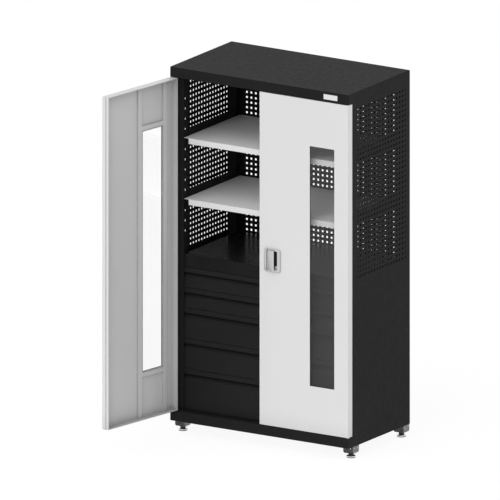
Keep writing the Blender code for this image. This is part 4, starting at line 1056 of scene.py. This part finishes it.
def lever_plan():
    points = []
    arc_start = pi / 2
    arc_end = 2 * pi - acos(GROOVE_START / KNUCKLE)
    for step in range(KNUCKLE_STEPS + 1):
        angle = arc_start + (arc_end - arc_start) * step / KNUCKLE_STEPS
        points.append((pivot.x + KNUCKLE * cos(angle), pivot.y + KNUCKLE * sin(angle)))
    groove = ((GROOVE_START, GROOVE_DEPTH), (GROOVE_END, GROOVE_DEPTH), (GROOVE_END, GROOVE_LIP))
    points += [behind(along, depth) for along, depth in groove]
    points.append((pivot.x + GROOVE_END + GROOVE_LIP, crown(GROOVE_END)))
    points += [behind(lever_reach * share, 0.0) for share in CROWN_SHARES]
    roll = ROLL / 2
    for step in range(1, ROLL_STEPS):
        angle = -pi / 2 + pi * step / ROLL_STEPS
        points.append((high.x - roll + roll * cos(angle), low.y + roll + roll * sin(angle)))
    points += [behind(lever_reach * share, ROLL) for share in reversed(CROWN_SHARES[:-1])]
    return points


def drawn_in(points, inset):
    """The outline moved inwards along each corner's normal."""
    shifted = []
    for index, point in enumerate(points):
        before = Vector(points[index - 1])
        after = Vector(points[(index + 1) % len(points)])
        along = (after - before).normalized()
        shifted.append((point[0] - along.y * inset, point[1] + along.x * inset))
    return shifted


def layered(name, loops, finish):
    """A closed body through loops of equally many points."""
    shape = bmesh.new()
    closed_stack(shape, [[shape.verts.new(place) for place in loop] for loop in loops])
    bmesh.ops.recalc_face_normals(shape, faces=shape.faces)
    return smooth_piece(name, shape, finish)


plan = lever_plan()
levels = [(low.z + rise, inset) for rise, inset in LEVER_END_STEPS]
levels += [(high.z - rise, inset) for rise, inset in reversed(LEVER_END_STEPS)]
lever_loops = [[(x, y, level) for x, y in drawn_in(plan, inset)] for level, inset in levels]
lever_piece = layered("pull_lever", lever_loops, cast_silver)
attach(lever_piece, "lever")
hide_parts("handle_lever")

# %% Pin the lever's groove
# A dark steel pin lies in the groove so that it reads as a dark line: painted shade, since that
# line is the groove's shade.
PIN_RADIUS = 0.0011
PIN_NOSE = 0.0006
PIN_START = 0.002
PIN_CHAMFER = 0.0004
PIN_STEPS = 12

groove_middle = (GROOVE_START + GROOVE_END) / 2
pin_place = behind(groove_middle, GROOVE_DEPTH - PIN_RADIUS)
pin_end = high.z - low.z - PIN_START
pin_profile = (
    (PIN_NOSE, PIN_START),
    (PIN_RADIUS, PIN_START + PIN_CHAMFER),
    (PIN_RADIUS, (pin_end - PIN_START) / 2),
    (PIN_RADIUS, pin_end - PIN_CHAMFER),
    (PIN_NOSE, pin_end),
)
pin_foot = Vector((*pin_place, low.z))
groove_shade_pin = spun("lever_groove_pin", pin_profile, pin_foot, PIN_STEPS, dark_steel)
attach(groove_shade_pin, "lever")

# %% [markdown]
# The recess behind the lever is black in the photograph, so a moulded tub lines the cup. A ring of
# polished metal closes the hole round the key barrel. The tub is loops joined in layers, like the
# lever; the ring is one small section carried round in a circle.

# %% Line the finger cup
CUP_RIGHT = 0.0155
CUP_TOP = 0.009
CUP_WIDE = 0.059
CUP_ABOVE_BARREL = 0.0025
CUP_FLOOR = 0.0163
CUP_CLEARANCE = 0.0002
CUP_CORNER_STEPS = 4
LINER = 0.0006
INNER_CORNER = 0.0012
OUTER_CORNER = 0.0006
MOUTH_GAP = 0.0006
FLOOR_GAP = 0.0001

leaf_low, leaf_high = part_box("door_right_leaf")
door_front = leaf_low.y
plate_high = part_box("handle_plate")[1]
barrel_low, barrel_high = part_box("key_barrel")
cup_left = plate_high.x - CUP_RIGHT - CUP_WIDE + CUP_CLEARANCE
cup_right = plate_high.x - CUP_RIGHT - CUP_CLEARANCE
cup_bottom = barrel_high.z + CUP_ABOVE_BARREL + CUP_CLEARANCE
cup_top = plate_high.z - CUP_TOP - CUP_CLEARANCE


def rounded_loop(inset, radius, depth):
    """A rounded rectangle inside the cup's walls, drawn in by the inset, at a depth."""
    left, right = cup_left + inset + radius, cup_right - inset - radius
    bottom, top = cup_bottom + inset + radius, cup_top - inset - radius
    points = []
    for quarter, (x, z) in enumerate(((right, top), (left, top), (left, bottom), (right, bottom))):
        for step in range(CUP_CORNER_STEPS + 1):
            angle = pi / 2 * (quarter + step / CUP_CORNER_STEPS)
            points.append((x + radius * cos(angle), depth, z + radius * sin(angle)))
    return points


floor_depth = door_front + CUP_FLOOR
mouth_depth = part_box("handle_lever")[1].y + MOUTH_GAP
liner_loops = [
    rounded_loop(LINER, INNER_CORNER, floor_depth - LINER),
    rounded_loop(LINER, INNER_CORNER, mouth_depth),
    rounded_loop(0.0, OUTER_CORNER, mouth_depth),
    rounded_loop(0.0, OUTER_CORNER, floor_depth - FLOOR_GAP),
]
liner = layered("cup_liner", liner_loops, cup_plastic)
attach(liner, "door_right")

# %% Ring the key barrel
RING_SECTION = (
    (0.0003, 0.0000),
    (0.0017, 0.0000),
    (0.0015, 0.0007),
    (0.0009, 0.0011),
    (0.0004, 0.0010),
)
RING_STEPS = 40
RING_STAND = 0.0053


def closed_ring(shape, rows):
    """Joins the sections all the way round, the last one to the first."""
    for this, following in zip(rows, rows[1:] + rows[:1]):
        bridge(shape, this, following)


barrel_middle = (barrel_low + barrel_high) / 2
barrel_reach = (barrel_high.x - barrel_low.x) / 2
shape = bmesh.new()
rows = []
for angle in round_steps(RING_STEPS):
    row = []
    for out, rise in RING_SECTION:
        x = barrel_middle.x + (barrel_reach + out) * cos(angle)
        z = barrel_middle.z + (barrel_reach + out) * sin(angle)
        row.append(shape.verts.new((x, door_front - RING_STAND - rise, z)))
    rows.append(row)
closed_ring(shape, rows)
bmesh.ops.recalc_face_normals(shape, faces=shape.faces)
key_ring = smooth_piece("key_ring", shape, cast_silver, crease=pi)
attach(key_ring, "door_right")

# %% [markdown]
# ## Pieces on the doors
# The left door stands open, so its pieces are easiest to draw on a closed door and to swing with
# it. The places on a door are: along from the hinge edge, depth behind the front, height. One
# matrix for each door turns them into places in the room. The right door's matrix is mirrored, so
# the pieces' normals are worked out again.

# %% Places on each door
OPEN_ANGLE = radians(-100.0)


def door_matrix(side):
    if side == "right":
        turn = Matrix(((-1, 0, 0), (0, 1, 0), (0, 0, 1))).to_4x4()
        return Matrix.Translation((leaf_high.x, leaf_low.y, 0.0)) @ turn
    roof_low, roof_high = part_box("roof")
    closed = Matrix.Translation((roof_low.x + roof_high.x - leaf_high.x, leaf_low.y, 0.0))
    pin_low, pin_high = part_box("hinge_pin_left_bottom")
    pivot = Vector(((pin_low.x + pin_high.x) / 2, (pin_low.y + pin_high.y) / 2, 0.0))
    swing = Matrix.Rotation(OPEN_ANGLE, 4, "Z")
    return Matrix.Translation(pivot) @ swing @ Matrix.Translation(-pivot) @ closed


def door_piece(name, side, shape, finish):
    """Puts a shape drawn in door places onto the door, and lets it swing with it."""
    bmesh.ops.transform(shape, matrix=door_matrix(side), verts=shape.verts)
    bmesh.ops.recalc_face_normals(shape, faces=shape.faces)
    piece = smooth_piece(name, shape, finish)
    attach(piece, f"door_{side}")


# %% [markdown]
# A soft grey strip fills the step between the pane and the stiffening frame all round each window.
# It hides the black seal from the inside. Its grey is partly painted shade: in the photograph that
# step is a pale surface in shade, and the strip's tone is set darker than the pale paint to stand
# for it. The strip is one small section, carried round the four sides with mitred corners.

# %% Lay the glazing strips
PANE_LAP = 0.012
STRIP_SECTION = (
    (0.0002, 0.0001),
    (0.0057, 0.0001),
    (0.0057, 0.0018),
    (0.0045, 0.0021),
    (0.0022, 0.0019),
    (0.0002, 0.0008),
)
pane_low, pane_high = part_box("window_right_pane")
window_near = leaf_high.x - pane_high.x + PANE_LAP
window_far = leaf_high.x - pane_low.x - PANE_LAP
window_bottom = pane_low.z + PANE_LAP
window_top = pane_high.z - PANE_LAP
pane_back = pane_high.y - door_front
for side in ("left", "right"):
    shape = bmesh.new()
    rows = []
    for along_sign, height_sign in ((-1, -1), (1, -1), (1, 1), (-1, 1)):
        row = []
        for out, rise in STRIP_SECTION:
            along = window_near - out if along_sign < 0 else window_far + out
            height = window_bottom - out if height_sign < 0 else window_top + out
            row.append(shape.verts.new((along, pane_back + rise, height)))
        rows.append(row)
    closed_ring(shape, rows)
    door_piece(f"glazing_strip_{side}", side, shape, shade_grey_gasket)

# %% [markdown]
# Each door turns on two pins, and a small bracket inside its corner carries the pin: a base plate
# with two upright slots and two ears with a round hole. The photograph shows the upper left one as
# two short dark lines. The base plate is a grid of cells with the slots left out, given thickness.

# %% Fit the hinge brackets
DOOR_SHEET = 0.0016
BASE_ALONG = (0.0020, 0.0100, 0.0135, 0.0225, 0.0260, 0.0340)
BASE_DOWN = (0.0020, 0.0085, 0.0290, 0.0360)
SLOT_COLUMNS = (1, 3)
SLOT_ROW = 1
BASE_THICKNESS = 0.0015
EAR_REACH = 0.0076
EAR_LEVELS = (0.0035, 0.0150)
EAR_SHEET = 0.0016
PIN_HOLE = 0.00425
EAR_STEPS = 32
HINGE_SCREW_DOWN = 0.019
HINGE_SCREW_SINK = 0.0001

pin_low, pin_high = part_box("hinge_pin_right_bottom")
pin_along = leaf_high.x - (pin_low.x + pin_high.x) / 2
pin_depth = (pin_low.y + pin_high.y) / 2 - leaf_low.y
print("pin axis", round(pin_along, 5), "m along the door and", round(pin_depth, 5), "m deep")


def ear(shape, level, upwards):
    """A plate with a round hole for the pin, trimmed where it meets the door's sheets."""
    loops = []
    for height in (level, level + upwards * EAR_SHEET):
        for reach in (PIN_HOLE, EAR_REACH):
            loop = []
            for angle in round_steps(EAR_STEPS):
                along = max(pin_along + reach * cos(angle), DOOR_SHEET)
                depth = max(pin_depth + reach * sin(angle), DOOR_SHEET)
                loop.append(shape.verts.new((along, depth, height)))
            loops.append(loop)
    for first, second in ((0, 1), (1, 3), (3, 2), (2, 0)):
        bridge(shape, loops[first], loops[second])


def base_plate(shape, end, upwards):
    """The slotted plate on the door's skin, measured from the door's end inwards."""
    net = [
        [shape.verts.new((along, DOOR_SHEET, end + upwards * down)) for down in BASE_DOWN]
        for along in BASE_ALONG
    ]
    cells = []
    for column, (left, right) in enumerate(zip(net, net[1:])):
        for row in range(len(BASE_DOWN) - 1):
            if column not in SLOT_COLUMNS or row != SLOT_ROW:
                corners = (left[row], right[row], right[row + 1], left[row + 1])
                cells.append(shape.faces.new(corners))
    raised = bmesh.ops.extrude_face_region(shape, geom=cells, use_keep_orig=True)
    lifted = [item for item in raised["geom"] if isinstance(item, bmesh.types.BMVert)]
    bmesh.ops.translate(shape, verts=lifted, vec=(0.0, BASE_THICKNESS, 0.0))


for side in ("left", "right"):
    place = door_matrix(side)
    inwards = place.to_3x3() @ Vector((0, 1, 0))
    hinge_seats = []
    for end_name, end, upwards in (("bottom", leaf_low.z, 1), ("top", leaf_high.z, -1)):
        shape = bmesh.new()
        base_plate(shape, end, upwards)
        for level in EAR_LEVELS:
            ear(shape, end + upwards * level, upwards)
        door_piece(f"hinge_bracket_{side}_{end_name}", side, shape, door_paint)
        for column in SLOT_COLUMNS:
            along = (BASE_ALONG[column] + BASE_ALONG[column + 1]) / 2
            depth = DOOR_SHEET + BASE_THICKNESS - HINGE_SCREW_SINK
            seat = Vector((along, depth, end + upwards * HINGE_SCREW_DOWN))
            hinge_seats.append((place @ seat, inwards))
    name = f"hinge_screws_{side}"
    screws(name, cap_head, drawn_steel, f"door_{side}", hinge_seats)

# %% [markdown]
# ## Finish
# The two screw heads were only models for the tree, so they leave the scene.

# %% Clear up and finish
for model in (flush_head, cap_head):
    bpy.data.objects.remove(model)
